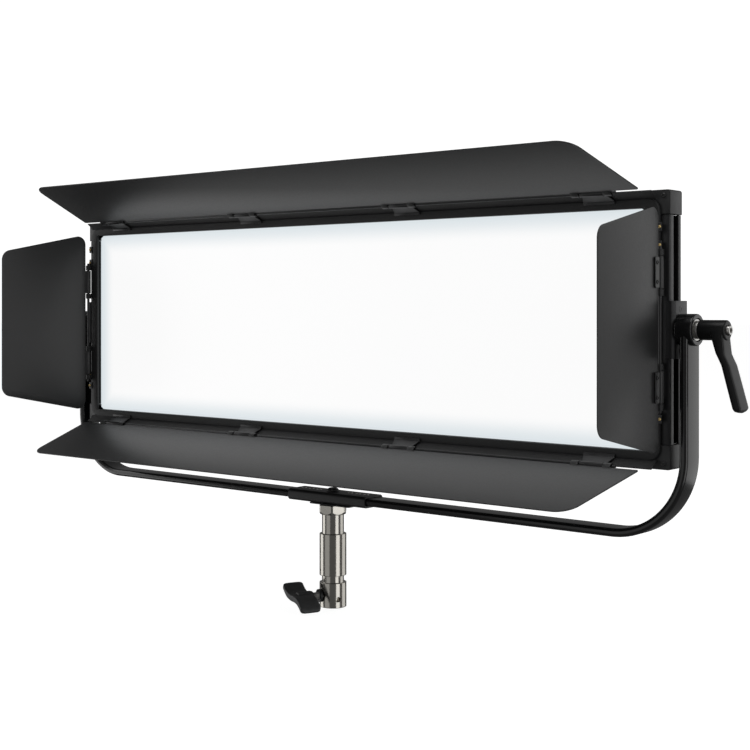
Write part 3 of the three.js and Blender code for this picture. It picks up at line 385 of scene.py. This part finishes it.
def leaned(rings, degrees):
    """Rings turned about +X by an angle."""
    cos, sin = np.cos(np.radians(degrees)), np.sin(np.radians(degrees))
    x, y, z = rings[..., 0], rings[..., 1], rings[..., 2]
    return np.stack([x, y * cos - z * sin, y * sin + z * cos], -1)


handle_grey = Finish("worn_grey_plastic", (0.042, 0.043, 0.044), 0.44, 0.0, Specular_IOR_Level=0.5)
handle_grey.feed("Roughness", 0.38 + 0.2 * handle_grey.noise(160.0, 4.0))
handle_grey.tint(handle_grey.noise(70.0, 3.0) ** 2.0, (0.06, 0.061, 0.062))
handle_grey.bump(handle_grey.noise(500.0, 2.0), 0.12, 0.0003)
hub_profile = rounded_path([(0.05, 24.2), (5.4, 24.2), (6.2, 27), (6.2, 42), (0.05, 42)], 0.8, 4)
piece(
    "wing_handle", "wing_screw", handle_grey,
    [about_screw(leaned(wing(), -23)), about_screw(stand(round_bar(hub_profile, 48), "x"))],
    "wing_screw", 50,
)


# ------------------------------------------------------------------ yoke
# A flat steel bar with round edges, bent to a U and painted glossy black. A turned hub with
# a recess for a washer is welded on the end of each arm.
def strip(path, half_width, thick, edge, steps=4):
    """Bar of a rounded rectangle carried along a path (n x 2) in the plane of the first two
    axes. The section is thick across the path and reaches half_width to both sides along
    the third axis, which may be a value for each point."""
    ahead = np.diff(path, axis=0)
    ahead /= np.linalg.norm(ahead, axis=1)[:, None]
    tangent = np.concatenate([ahead[:1], ahead[:-1] + ahead[1:], ahead[-1:]])
    tangent /= np.linalg.norm(tangent, axis=1)[:, None]
    normal = np.stack([-tangent[:, 1], tangent[:, 0]], 1)
    turn = np.linspace(0, np.pi / 2, steps + 1)
    turn = (turn[None, :] + np.arange(4)[:, None] * np.pi / 2).ravel()
    quarter = np.repeat(np.array([[1, 1], [-1, 1], [-1, -1], [1, -1]]), steps + 1, axis=0)
    across = quarter[:, 0] * (thick / 2 - edge) + edge * np.cos(turn)
    reach = np.broadcast_to(np.asarray(half_width, float), (len(path),))[:, None]
    aside = quarter[:, 1] * (reach - edge) + edge * np.sin(turn)
    flat = path[:, None, :] + across[None, :, None] * normal[:, None, :]
    return np.concatenate([flat, aside[..., None]], -1)


gloss = Finish("gloss_black_paint", (0.006, 0.0062, 0.0066), 0.2, 0.0, Specular_IOR_Level=0.6)
gloss.feed("Roughness", 0.16 + 0.07 * gloss.noise(40.0, 3.0))
gloss.bump(gloss.noise(160.0, 1.0), 0.04, 0.0003)

TILT = joint_at["head_tilt"]
yoke_path = rounded_path(
    [(-411, 297.4), (-411, 115.5), (411, 115.5), (411, 297.4)], 71, 28
)
yoke_bar = stand(strip(yoke_path, 13, 8, 3.4, 6), "y", (0, TILT[1], 0))


def hub(side):
    """Turned hub about +X, mirrored for the left: bore, recess and two rounded rims."""
    profile = rounded_outline(
        [(5.4, 403), (14, 403), (14, 419), (10.2, 419), (10.2, 416.4), (5.4, 416.4)],
        [0.3, 1.1, 1.1, 0.4, 0.3, 0.3], 4,
    )
    rings = stand(round_bar(profile, 72), "x") * (side, 1, 1)
    return rings + (0, TILT[1], TILT[2]), True


piece("yoke_bar", "yoke", gloss, [yoke_bar], "yoke")
piece("yoke_hub_right", "yoke", gloss, [hub(1)])
piece("yoke_hub_left", "yoke", gloss, [hub(-1)])
washer_profile = rounded_outline([(5.4, 416.6), (9.6, 416.6), (9.6, 418.3), (5.4, 418.3)], 0.3, 3)
left_washer = stand(round_bar(washer_profile, 56), "x") * (-1, 1, 1) + (0, TILT[1], TILT[2])
piece("hub_washer_left", "yoke", steel, [(left_washer, True)])


# ------------------------------------------------------------------ sleeve, pad and bolt
# A steel sleeve folded round the bar's middle, a plain moulded pad under it,
# and a domed bolt down through them all into the pin.
def slab(outline, low, high, edge, steps=3):
    """Plate of an outline (n x 2, anticlockwise) from a low to a high level. Both rims are
    quarter circles: the inset is edge (1 - sin a) where the rise is edge (1 - cos a)."""
    a = np.linspace(0, np.pi / 2, steps + 1)
    inset = edge * (1 - np.sin(a))
    rise = edge * (1 - np.cos(a))
    insets = np.concatenate([inset, inset[::-1]])[:, None, None]
    levels = np.concatenate([low + rise, (high - rise)[::-1]])[:, None, None]
    rings = outline[None] - insets * mitre(outline)[None]
    return np.concatenate([rings, levels + 0 * rings[..., :1]], -1)


def mitre(outline):
    """For each point of an anticlockwise outline, the outward step that moves both of its
    sides by one: the sum of the two side normals over one plus their dot product."""
    ahead = np.roll(outline, -1, 0) - outline
    ahead = ahead / np.maximum(np.linalg.norm(ahead, axis=1), 1e-9)[:, None]
    after = np.stack([ahead[:, 1], -ahead[:, 0]], 1)
    before = np.roll(after, 1, 0)
    return (before + after) / np.maximum(1 + (before * after).sum(1), 0.2)[:, None]


def oblong(x0, x1, y0, y1, radius, steps=5):
    """Rectangle between two pairs of levels with round corners, anticlockwise."""
    return rounded_outline([(x0, y0), (x1, y0), (x1, y1), (x0, y1)], radius, steps)


satin = Finish("satin_black_paint", (0.011, 0.0112, 0.0116), 0.38, 0.0, Specular_IOR_Level=0.5)
satin.feed("Roughness", 0.32 + 0.16 * satin.noise(150.0, 4.0))
satin.bump(satin.noise(700.0, 2.0), 0.08, 0.0002)

y0, y1 = TILT[1] - 13, TILT[1] + 13
outside = oblong(y0 - 2, y1 + 2, 109.5, 121.5, 3.6, 8)
inside = oblong(y0 - 0.3, y1 + 0.3, 111.2, 119.8, 2.2, 8)
sleeve = [
    np.concatenate([ring, np.full((len(ring), 1), x)], -1)
    for ring, x in [(outside, -53.6), (outside, 53.6), (outside - 0.4 * mitre(outside), 54.0),
                    (inside, 54.0), (inside, -54.0), (outside - 0.4 * mitre(outside), -54.0)]
]
piece("bar_sleeve", "yoke", satin, [(stand(np.array(sleeve), "x"), True)], "yoke_sleeve")
for number, x in enumerate((-44, -33, -22, 22, 33, 44)):
    eyelet = rounded_outline([(1.9, 121.3), (3.1, 121.3), (3.1, 121.9), (1.9, 121.9)], 0.15, 2)
    eyelet = stand(round_bar(eyelet, 24), "z", (x, TILT[1], 0))
    piece(f"sleeve_eyelet_{number + 1}", "yoke", steel, [(eyelet, True)])

pad_outline = oblong(-25, 31, y0 - 0.5, y1 + 0.5, 3, 6)
piece("bar_pad", "yoke", moulded, [slab(pad_outline, 107.9, 109.2, 0.3)], "yoke_pad")
bolt_profile = rounded_path(
    [(0.05, 84), (5, 84), (5, 121.8), (6.6, 121.8), (6.6, 123.2), (4.6, 125.4), (0.05, 126.1)],
    [0.4, 0.2, 0.2, 0.8, 2.0], 4,
)
piece("domed_bolt", "yoke", satin, [stand(round_bar(bolt_profile, 64), "z")], "yoke_bolt")


# ------------------------------------------------------------------ head frame
# Four extruded aluminium rails, black anodised, with a T-slot in their outer faces and a
# groove for the diffuser. Four moulded corner blocks join them, each with a screw in front.
anodised = Finish("black_anodised", (0.03, 0.0305, 0.032), 0.36, 0.55, Specular_IOR_Level=0.5)
anodised.feed("Roughness", 0.3 + 0.16 * anodised.noise(220.0, 3.0))
anodised.tint(anodised.noise(9.0, 3.0) ** 2.0, (0.045, 0.0455, 0.047))
anodised.bump(anodised.noise(900.0, 2.0), 0.06, 0.0001)

FRONT, BACK = -6.5, 14.7  # the rails' front and back faces


def rail_section(outer, window):
    """Closed section of a rail as (depth, distance from the middle): a lip and a groove on
    the window's side, and a T-slot whose mouth opens in the outer face."""
    slot = (FRONT + BACK) / 2 + 1
    return rounded_outline(
        [
            (FRONT, window), (FRONT + 1.6, window), (FRONT + 1.6, window + 5),
            (FRONT + 5.2, window + 5), (FRONT + 5.2, window + 1.2), (BACK, window + 1.2),
            (BACK, outer), (slot + 4.6, outer), (slot + 4.6, outer - 2), (slot + 7.1, outer - 2),
            (slot + 7.1, outer - 6.5), (slot - 7.1, outer - 6.5), (slot - 7.1, outer - 2),
            (slot - 4.6, outer - 2), (slot - 4.6, outer), (FRONT, outer),
        ],
        [0.3, 0.3, 0.3, 0.3, 0.3, 0.3, 0.8, 0.35, 0.35, 0.2, 0.2, 0.2, 0.2, 0.35, 0.35, 1.9], 5,
    )


LONG_RAIL, SHORT_RAIL = 368.7, 100.7
for name, sign in (("top", 1), ("bottom", -1)):
    bar = slab(rail_section(122, 106.8), -LONG_RAIL, LONG_RAIL, 0.15, 2)
    bar = stand(bar, "x") * (1, 1, sign) + (0, 0, TILT[2])
    piece(f"extruded_rail_{name}", "head", anodised, [bar], f"rail_{name}", 30)
for name, sign in (("left", -1), ("right", 1)):
    bar = slab(rail_section(397, 378), -SHORT_RAIL, SHORT_RAIL, 0.15, 2)
    bar = bar[..., (1, 0, 2)] * (sign, 1, 1) + (0, 0, TILT[2])
    piece(f"extruded_rail_{name}", "head", anodised, [bar], f"rail_{name}", 30)


def screw(r, under, top, dome=0.5):
    """Profile of a button-head screw about its own axis, from under its head to its top. A
    round pit as wide as the radius goes half way down into its face."""
    pit = (top + under) / 2
    corners = [
        (0.05, under), (r, under), (r, top - dome), (r * 0.72, top),
        (r / 2, top), (r / 2, pit), (0.05, pit),
    ]
    return rounded_path(corners, [0.1, 0.25, 0.25, 0.1, 0.1], 3)


corner_outline = rounded_outline(
    [(378, 101), (397.7, 101), (397.7, 122.7), (369, 122.7), (369, 106.8), (378, 106.8)],
    [0.3, 0.8, 2.4, 0.8, 0.3, 0.4], 5,
)
for x_name, sx in (("left", -1), ("right", 1)):
    for z_name, sz in (("bottom", -1), ("top", 1)):
        spot = f"{z_name}_{x_name}"
        block = stand(slab(corner_outline, FRONT - 0.7, BACK + 0.7, 0.7), "y")
        block = block * (sx, 1, sz) + (0, 0, TILT[2])
        piece(f"moulded_corner_{spot}", "head", moulded, [block], f"corner_block_{spot}")
        head_screw = stand(round_bar(screw(2.3, 0, 1.5), 40), "y") * (1, -1, 1)
        head_screw = head_screw + (sx * 391.5, FRONT - 0.6, TILT[2] + sz * 117.4)
        piece(f"corner_screw_{spot}", "head", satin, [head_screw])


# ------------------------------------------------------------------ pivot brackets
# A bent plate on each side rail, held by two sunk socket screws, carries the tilt axis:
# a steel stud for the lever on the right and a plain bolt on the left.
bracket_outline = rounded_outline(
    [(393.8, -9.2), (399.6, -9.2), (402.6, -6.2), (402.6, 15.3), (397.3, 15.3),
     (397.3, -6.8), (393.8, -6.8)],
    [0.4, 1.2, 1.2, 0.6, 0.4, 0.4, 0.4], 4,
)
for name, side in (("right", 1), ("left", -1)):
    bracket = slab(bracket_outline, -25.3, 25.3, 0.5) * (side, 1, 1) + (0, 0, TILT[2])
    piece(f"bent_bracket_{name}", "head", anodised, [bracket], f"pivot_bracket_{name}")
    for level in (-18.2, 18.2):
        button = stand(round_bar(screw(3.1, -1.6, 0.25, 0.2), 40), "x") * (side, 1, 1)
        spot = "upper" if level > 0 else "lower"
        button = button + (side * 402.5, TILT[1], TILT[2] + level)
        piece(f"bracket_screw_{name}_{spot}", "head", satin, [button])
stud = stand(thread(5.0, 397.4, 435.8, 1.25, 0.55), "x") + (0, TILT[1], TILT[2])
piece("threaded_stud", "head", steel, [stud], "pivot_stud")
cap_profile = rounded_path(
    [(0.05, 397.4), (5, 397.4), (5, 419.3), (9, 419.3), (9, 422.2), (7.4, 423.8),
     (3, 423.8), (3, 421.4), (0.05, 421.4)],
    [0.3, 0.2, 0.4, 0.8, 0.8, 0.2, 0.2], 4,
)
left_bolt = stand(round_bar(cap_profile, 64), "x") * (-1, 1, 1) + (0, TILT[1], TILT[2])
piece("left_pivot_bolt", "head", satin, [left_bolt], "pivot_bolt_left")


# ------------------------------------------------------------------ tilt lever
# A ratchet lever cast in zinc and painted black, on a steel insert that screws down the
# stud; a socket-head cap screw holds it on, and a washer lies in the hub's recess.
def lever_arm():
    """The arm as rings down its length: each is a superellipse round a middle line that
    leaves the boss and leans outwards, flat across the boss's axis and rounder at its tip."""
    t = np.linspace(0, 1, 60)[:, None]
    turn = np.linspace(0, 2 * np.pi, 48, endpoint=False)[None, :]
    drop = 70 * t
    middle = 439.6 + 5.6 * np.clip(drop - 4, 0, 26) / 26 + 13.0 * np.clip((drop - 20) / 46, 0, 1)
    levels, halves = [0, 8, 22, 50, 66, 70], [6.8, 5.4, 3.8, 3.9, 3.9, 1.6]
    half_thick = np.interp(drop[:, 0], levels, halves)[:, None]
    tip = np.clip(1 - np.clip((drop - 65) / 5, 0, 1) ** 3, 0, 1) ** 0.4
    half_wide = (8.8 + 0.8 * drop / 70) * (0.12 + 0.88 * tip)
    cos, sin = np.cos(turn), np.sin(turn)
    x = middle + half_thick * np.sign(cos) * abs(cos) ** 0.32
    y = half_wide * np.sign(sin) * abs(sin) ** 0.32
    return np.stack([x, y + TILT[1], TILT[2] - drop + 0 * turn], -1)


lever_black = Finish("lever_black", (0.008, 0.0082, 0.0086), 0.34, 0.0, Specular_IOR_Level=0.26)
lever_black.feed("Roughness", 0.3 + 0.12 * lever_black.noise(120.0, 3.0))
lever_black.bump(lever_black.noise(600.0, 2.0), 0.06, 0.0002)
boss_profile = rounded_outline(
    [(6.6, 421.6), (8.8, 421.6), (8.8, 447), (4.5, 447), (4.5, 443.5), (6.6, 443.5)],
    [0.3, 1.0, 1.6, 0.5, 0.3, 0.3], 5,
)
boss = stand(round_bar(boss_profile, 72), "x") + (0, TILT[1], TILT[2])
piece("ratchet_lever", "tilt_lever", lever_black, [(boss, True), lever_arm()], "tilt_lever", 50)
insert_profile = rounded_path(
    [(5.4, 434), (5.4, 418.6), (7.8, 418.6), (7.8, 421.3), (6.2, 421.3), (6.2, 440), (4.1, 440),
     (4.1, 449.6), (2.4, 449.6), (2.4, 446.8), (0.05, 446.8)],
    [0.2, 0.3, 0.3, 0.2, 0.3, 0.2, 0.5, 0.2, 0.2], 3,
)


def cap_socket(r, turn, height):
    """The cap screw's face: inside 2.5 mm the radius follows a hexagon's sides."""
    facet = turn % (np.pi / 3) - np.pi / 6
    return np.where((r < 2.5) & (height > 446), np.minimum(r, 2.1 / np.cos(facet)), r + 0 * turn)


insert = stand(round_bar(insert_profile, 72, cap_socket), "x") + (0, TILT[1], TILT[2])
piece("lever_cap_screw", "lever_insert", steel, [insert], "lever_insert")
right_washer = stand(round_bar(washer_profile, 56), "x") + (0, TILT[1], TILT[2])
piece("hub_washer_right", "lever_washer", steel, [(right_washer, True)], "lever_washer")


# ------------------------------------------------------------------ light engine
# An opal acrylic sheet lit from behind: brightest over the board, a little cooler and
# darker along its edge. White walls and the LED board lie behind it.
opal = Finish("opal_acrylic", (0.14, 0.142, 0.144), 0.42, 0.0, Emission_Strength=0.92)
split = opal.tree.nodes.new("ShaderNodeSeparateXYZ")
opal.tree.links.new(opal.place.socket, split.inputs[0])
WINDOW_HALF_W, WINDOW_HALF_H = 378, 106.8
sideways = WINDOW_HALF_W / 1000 - abs(Value(opal, split.outputs[0]))
upright = WINDOW_HALF_H / 1000 - abs(Value(opal, split.outputs[2]) - TILT[2] / 1000)
nearest = sideways.math("MINIMUM", sideways, upright)
glow = opal.node("ShaderNodeMapRange", {"interpolation_type": "SMOOTHSTEP"}, {0: nearest, 2: 0.024})
opal.feed("Emission Color", opal.node(
    "ShaderNodeMix", {"data_type": "RGBA"},
    {0: glow, 6: (0.74, 0.8, 0.83, 1.0), 7: (1.0, 1.0, 1.0, 1.0)}, out=2,
))
frame["nodes"]["diffuser"].data.materials[0] = opal.material

white = Finish("white_reflector", (0.8, 0.8, 0.79), 0.5)
white.bump(white.noise(500.0, 2.0), 0.1, 0.0002)
frame["nodes"]["reflector_walls"].data.materials[0] = white.material
board = Finish("solder_mask", (0.6, 0.64, 0.6), 0.45)
board.tint(board.noise(300.0, 1.0, (1.0, 1.0, 1.0)) ** 4.0, (0.45, 0.3, 0.12))
for name in ("led_board", "driver_board"):
    frame["nodes"][name].data.materials[0] = board.material


# ------------------------------------------------------------------ back of the head
# A pressed steel shell, an extruded heat sink with upright fins, and a sheet-metal control
# box. Each is the CAD solid with its corners merged and its sharp edges rounded.
powder = Finish("black_powder_coat", (0.012, 0.0122, 0.0126), 0.55, 0.0, Specular_IOR_Level=0.42)
powder.feed("Roughness", 0.5 + 0.14 * powder.noise(700.0, 3.0))
powder.tint(powder.noise(6.0, 3.0) ** 2.0, (0.018, 0.0183, 0.019))
powder.bump(powder.noise(900.0, 2.0), 0.12, 0.0002)


def softened(node, body, finish, width):
    """Copy of a CAD node: doubles merged, coplanar faces joined, and a bevel of a width on
    every edge sharper than 40 degrees."""
    mesh = frame["nodes"][node].data.copy()
    mesh.materials.clear()
    mesh.materials.append(finish.material)
    made = bpy.data.objects.new("soft_" + node, mesh)
    bpy.context.scene.collection.objects.link(made)
    work = bmesh.new()
    work.from_mesh(mesh)
    bmesh.ops.remove_doubles(work, verts=work.verts, dist=1e-6)
    bmesh.ops.dissolve_limit(
        work, angle_limit=np.radians(1.0), verts=work.verts, edges=work.edges
    )
    work.to_mesh(mesh)
    work.free()
    bevel = made.modifiers.new("soft_edges", "BEVEL")
    bevel.width = width / 1000
    bevel.segments = 2
    bevel.limit_method = "ANGLE"
    bevel.angle_limit = np.radians(40)
    mesh.shade_smooth()
    mesh.set_sharp_from_angle(angle=np.radians(45))
    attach(made, body)
    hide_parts(node)
    return made


softened("rear_shell", "head", powder, 0.5)
softened("heat_sink", "head", anodised, 0.4)
softened("control_box", "head", powder, 0.5)
softened("control_panel", "head", anodised, 0.25)
softened("switch_bezel", "head", moulded, 0.25)
softened("power_inlet", "head", moulded, 0.25)
softened("data_socket", "head", moulded, 0.25)
softened("power_rocker", "power_rocker", moulded, 0.5)
softened("menu_button", "menu_button", moulded, 0.4)
softened("mode_button", "mode_button", moulded, 0.4)
glass = Finish("display_glass", (0.01, 0.014, 0.018), 0.08, 0.0, Coat_Weight=0.6)
frame["nodes"]["display_window"].data.materials[0] = glass.material

KNOB_X = {"dimmer": -78, "color": 78}
for name, x in KNOB_X.items():
    corners = [
        (0.05, 59), (3, 59), (3, 65.2), (11, 65.2), (11.9, 66.5), (11.3, 79.6), (9, 80.7),
        (0.05, 80.7),
    ]
    grip = finely(rounded_path(corners, [0.2, 0.2, 0.3, 0.5, 0.9, 0.9], 4), 1.2)

    def fluted(r, turn, height):
        """Grip of a knob: 36 flutes 0.35 mm deep on its side wall."""
        flute = 0.35 * (0.5 + 0.5 * np.cos(36 * turn))
        return r - flute * ((r > 11) & (height > 67.2) & (height < 79))

    turned = stand(round_bar(grip, 216, fluted), "y", (x, 0, TILT[2] + 48))
    piece(f"{name}_grip", f"{name}_knob", moulded, [turned], f"{name}_knob", 30)


ink = Finish("white_print", (0.75, 0.75, 0.74), 0.5)
ink.feed("Roughness", 0.42 + 0.16 * ink.noise(400.0, 2.0))
for name, x in KNOB_X.items():
    pointer = stand(slab(oblong(x - 0.6, x + 0.6, 51.5, 57.5, 0.5), 80.2, 80.76, 0.1), "y")
    piece(f"{name}_pointer", f"{name}_knob", ink, [pointer + (0, 0, TILT[2])])
back_screws = [(x, z, 66.5) for x in (-109, 109) for z in (-83, 83)]
back_screws += [(x, z, 35.3) for x in (-122.5, 122.5) for z in (-96, 96)]
for number, (x, z, level) in enumerate(back_screws):
    button = stand(round_bar(screw(2.6, 0, 1.6, 0.6), 40), "y")
    piece(f"back_screw_{number + 1}", "head", satin, [button + (x, level, TILT[2] + z)])


# ------------------------------------------------------------------ barn-door frame
# A flat steel frame with round corners in front of the rails, powder coated. A flange
# slants forwards from each long side, and welded lugs at its sides carry the side rods.
def band(outer, inner, low, high, edge, steps=3):
    """Flat frame between two outlines of as many points: up the outer rim and down the
    inner one, each rim a quarter circle as on a slab. It is a loop both ways."""
    out = slab(outer, low, high, edge, steps)
    back = slab(inner, low, high, edge, steps)[::-1]
    grown = 2 * inner[None] - back[..., :2]
    back = np.concatenate([grown, back[..., 2:]], -1)
    return np.concatenate([out, back])


door_outer = oblong(-389, 389, -115, 115, 11, 12)
door_inner = oblong(
    -WINDOW_HALF_W, WINDOW_HALF_W, -WINDOW_HALF_H, WINDOW_HALF_H, 1.0, 12
)
door = stand(band(door_outer, door_inner, -11.4, -7.5, 0.8), "y") + (0, 0, TILT[2])
piece("door_frame", "head", powder, [(door, True)], "barndoor_frame")
for name, sz in (("top", 1), ("bottom", -1)):
    slope = np.array([(-10.1, 114.7), (-14.8, 118.1), (-19.5, 121.4)])
    flange = strip(slope, 386, 1.1, 0.35, 3)[..., (2, 0, 1)] * (1, 1, sz) + (0, 0, TILT[2])
    piece(f"frame_flange_{name}", "head", powder, [flange])
SIDE = joint_at["right_leaf_hinge"]
lug_outline = rounded_outline(
    [(392.4, -7.6), (388.3, -7.6), (388.3, -15.2), (390.0, -17.1), (393.1, -17.0),
     (394.5, -14.2), (393.2, -11.6)],
    [0.3, 0.3, 0.6, 1.4, 1.4, 1.2, 0.8], 4,
)
for name, side in (("left", -1), ("right", 1)):
    lugs = []
    for level in (-50, 50):
        for step in (-1, 1):
            low = level + step * 17.5 - 3
            lugs.append(slab(lug_outline, low, low + 6, 0.4) * (side, 1, 1) + (0, 0, TILT[2]))
    piece(f"side_lugs_{name}", "head", powder, lugs)


# ------------------------------------------------------------------ hinge brackets and rods
# Pressed steel tongues stand on the frame's long sides and curl round a blackened rod.
# Small clips with brass rivets stand beside the side hinges.
dark_plate = Finish("blackened_steel", (0.035, 0.035, 0.036), 0.36, 0.7)
dark_plate.feed("Roughness", 0.3 + 0.16 * dark_plate.noise(200.0, 4.0))
dark_plate.tint(dark_plate.noise(30.0, 3.0), (0.05, 0.05, 0.051))

ROD_Y, ROD_Z = joint_at["top_leaf_hinge"][1], joint_at["top_leaf_hinge"][2] - TILT[2]


def curl(centre, start, sweep, r=2.45, steps=26):
    """Arc round a rod: the centre plus a spoke at an angle that runs from start by sweep."""
    angle = np.radians(start + sweep * np.linspace(0, 1, steps))
    return np.stack([centre[0] + r * np.cos(angle), centre[1] + r * np.sin(angle)], 1)


tongue = rounded_path([(-12.3, 111.6), (-12.3, 114.2), (-22.2, 120.2)], 1.6, 6)
tongue = np.concatenate([tongue, curl((ROD_Y, ROD_Z), -20, 300)])
tongue_half = np.interp(tongue[:, 1], [111, 114.6, 118], [16, 16, 12])
tongue_half[len(tongue) - 26:] = 12
for z_name, sz in (("top", 1), ("bottom", -1)):
    for number, x in enumerate((-330, -110, 110, 330)):
        bent = strip(tongue, tongue_half, 1.1, 0.35, 2)[..., (2, 0, 1)] * (1, 1, sz)
        spot = f"{z_name}_{number + 1}"
        bent = bent + (x, 0, TILT[2])
        piece(f"hinge_tongue_{spot}", "head", dark_plate, [bent], f"hinge_bracket_{spot}")
    rod_profile = rounded_path([(0.05, -354), (1.5, -354), (1.5, 354), (0.05, 354)], 0.5, 3)
    rod = stand(round_bar(rod_profile, 24), "x", (0, ROD_Y, TILT[2] + sz * ROD_Z))
    piece(f"long_rod_{z_name}", "head", dark_plate, [rod], f"hinge_rod_{z_name}")
for name, side in (("left", -1), ("right", 1)):
    rod_profile = rounded_path([(0.05, -73), (1.5, -73), (1.5, 73), (0.05, 73)], 0.5, 3)
    rod = stand(round_bar(rod_profile, 24), "z", (side * SIDE[0], SIDE[1], TILT[2]))
    piece(f"side_rod_{name}", "head", dark_plate, [rod], f"hinge_rod_{name}")


for name, side in (("left", -1), ("right", 1)):
    for number, level in enumerate((-78, -64.5, 74, 90)):
        spot = f"{name}_{number + 1}"
        clip = stand(slab(oblong(387.0, 392.0, level - 4, level + 4, 0.8), 11.2, 12.3, 0.3), "y")
        clip = clip * (side, -1, 1) + (0, 0, TILT[2])
        piece(f"side_clip_{spot}", "head", dark_plate, [clip])
        stem = stand(round_bar(screw(1.5, 0, 1.3, 0.5), 32), "y") * (1, -1, 1)
        piece(f"clip_rivet_{spot}", "head", brass, [stem + (side * 390.2, -12.2, TILT[2] + level)])


# ------------------------------------------------------------------ leaves
# Four leaves of powder-coated sheet. The long ones have eight narrow curls on their rod,
# the side ones two wide curls and riveted plates.
def leaf_outline(start, length, half_at_hinge, half_at_tip, hinge_r, r):
    """Trapezium along the hinge and away from it, with its own arcs at hinge and tip."""
    return rounded_outline(
        [(-half_at_hinge, start), (half_at_hinge, start), (half_at_tip, length),
         (-half_at_tip, length)],
        [hinge_r, hinge_r, r, r], 12,
    )


def hung(rings, at, along, away, inner):
    """Rings of (along, away, inner) carried into the row's frame at a hinge."""
    return rings @ np.array([along, away, inner], float) + np.asarray(at, float)


def leaf_curl(half):
    """A leaf's curl: from the sheet it steps aside and wraps the rod, half as wide each way."""
    path = rounded_path([(7.5, 0.0), (4.6, 0.0), (2.0, 2.4)], 1.6, 5)
    path = np.concatenate([path, curl((0, 0), 80, 290)])
    return strip(path, half, 1.1, 0.3, 2)[..., (2, 0, 1)]


leaf_coat = Finish("leaf_coating", (0.0145, 0.0148, 0.0152), 0.46, 0.0, Specular_IOR_Level=0.55)
leaf_coat.feed("Roughness", 0.4 + 0.12 * leaf_coat.noise(500.0, 3.0))
leaf_coat.tint(leaf_coat.noise(7.0, 3.0) ** 2.0, (0.023, 0.0233, 0.024))
leaf_coat.bump(leaf_coat.noise(900.0, 2.0), 0.12, 0.0002)
LONG_OPEN = {"top": 112, "bottom": 107}
for name, sz in (("top", 1), ("bottom", -1)):
    opened = np.radians(LONG_OPEN[name])
    away = (0, -np.sin(opened), -sz * np.cos(opened))
    inner = (0, np.cos(opened), -sz * np.sin(opened))
    sheet = slab(leaf_outline(3.6, 99, 379, 362, 2, 19), -0.6, 0.6, 0.35, 2)
    shells = [sheet]
    for x in (-330, -110, 110, 330):
        for side in (-1, 1):
            shells.append(leaf_curl(4) + (x + side * 16.5, 0, 0))
    at = (0, ROD_Y, TILT[2] + sz * ROD_Z)
    placed = [hung(shell, at, (1, 0, 0), away, inner) for shell in shells]
    piece(f"sheet_leaf_{name}", f"leaf_{name}", leaf_coat, placed, f"leaf_{name}")

SIDE_OPEN = {"left": 100, "right": 92}
for name, sx in (("left", -1), ("right", 1)):
    opened = np.radians(SIDE_OPEN[name])
    away = (-sx * np.cos(opened), -np.sin(opened), 0)
    inner = (-sx * np.sin(opened), np.cos(opened), 0)
    at = (sx * SIDE[0], SIDE[1], TILT[2])
    shells = [slab(leaf_outline(4, 114, 108.5, 85, 10, 12), -0.6, 0.6, 0.35, 2)]
    shells += [leaf_curl(14) + (z, 0, 0) for z in (-50, 50)]
    placed = [hung(shell, at, (0, 0, 1), away, inner) for shell in shells]
    piece(f"sheet_leaf_{name}", f"leaf_{name}", leaf_coat, placed, f"leaf_{name}")
    for number, z in enumerate((-50, 50)):
        plate = slab(oblong(z - 13.5, z + 13.5, 5, 13, 1.5), -2.1, -0.9, 0.3)
        rivet = stand(round_bar(screw(1.9, 0, 0.9, 0.4), 32), "z") * (1, 1, -1)
        rivets = [rivet + (z + dz, 9.3, -2.0) for dz in (-8.5, 8.5)]
        placed = [hung(shell, at, (0, 0, 1), away, inner) for shell in [plate, *rivets]]
        spot = f"{name}_{number + 1}"
        piece(f"hinge_plate_{spot}", f"leaf_{name}", satin, placed, f"leaf_plate_{spot}")


# ------------------------------------------------------------------ floor
# A plain pale sheet, self-lit to the eye so that the lamp's own shade on it stays faint,
# and darker in what the metal mirrors.
pale = Finish("pale_floor", (0.3, 0.3, 0.3), 0.9, 0.0, Emission_Strength=0.95)
to_the_eye = pale.node("ShaderNodeLightPath")
pale.feed("Emission Color", pale.node(
    "ShaderNodeMix", {"data_type": "RGBA"},
    {0: to_the_eye, 6: (0.06, 0.06, 0.06, 1.0), 7: (1.0, 1.0, 1.0, 1.0)}, out=2,
))
sheet = bpy.data.meshes.new("floor")
FLOOR_HALF, FLOOR_LEVEL = 20, -0.002
corners = [(-1, -1), (1, -1), (1, 1), (-1, 1)]
corners = [(x * FLOOR_HALF, y * FLOOR_HALF, FLOOR_LEVEL) for x, y in corners]
sheet.from_pydata(corners, [], [(0, 1, 2, 3)])
sheet.materials.append(pale.material)
floor = bpy.data.objects.new("floor", sheet)
bpy.context.scene.collection.objects.link(floor)
floor.visible_glossy = False
floor.visible_shadow = False

bpy.context.view_layer.update()
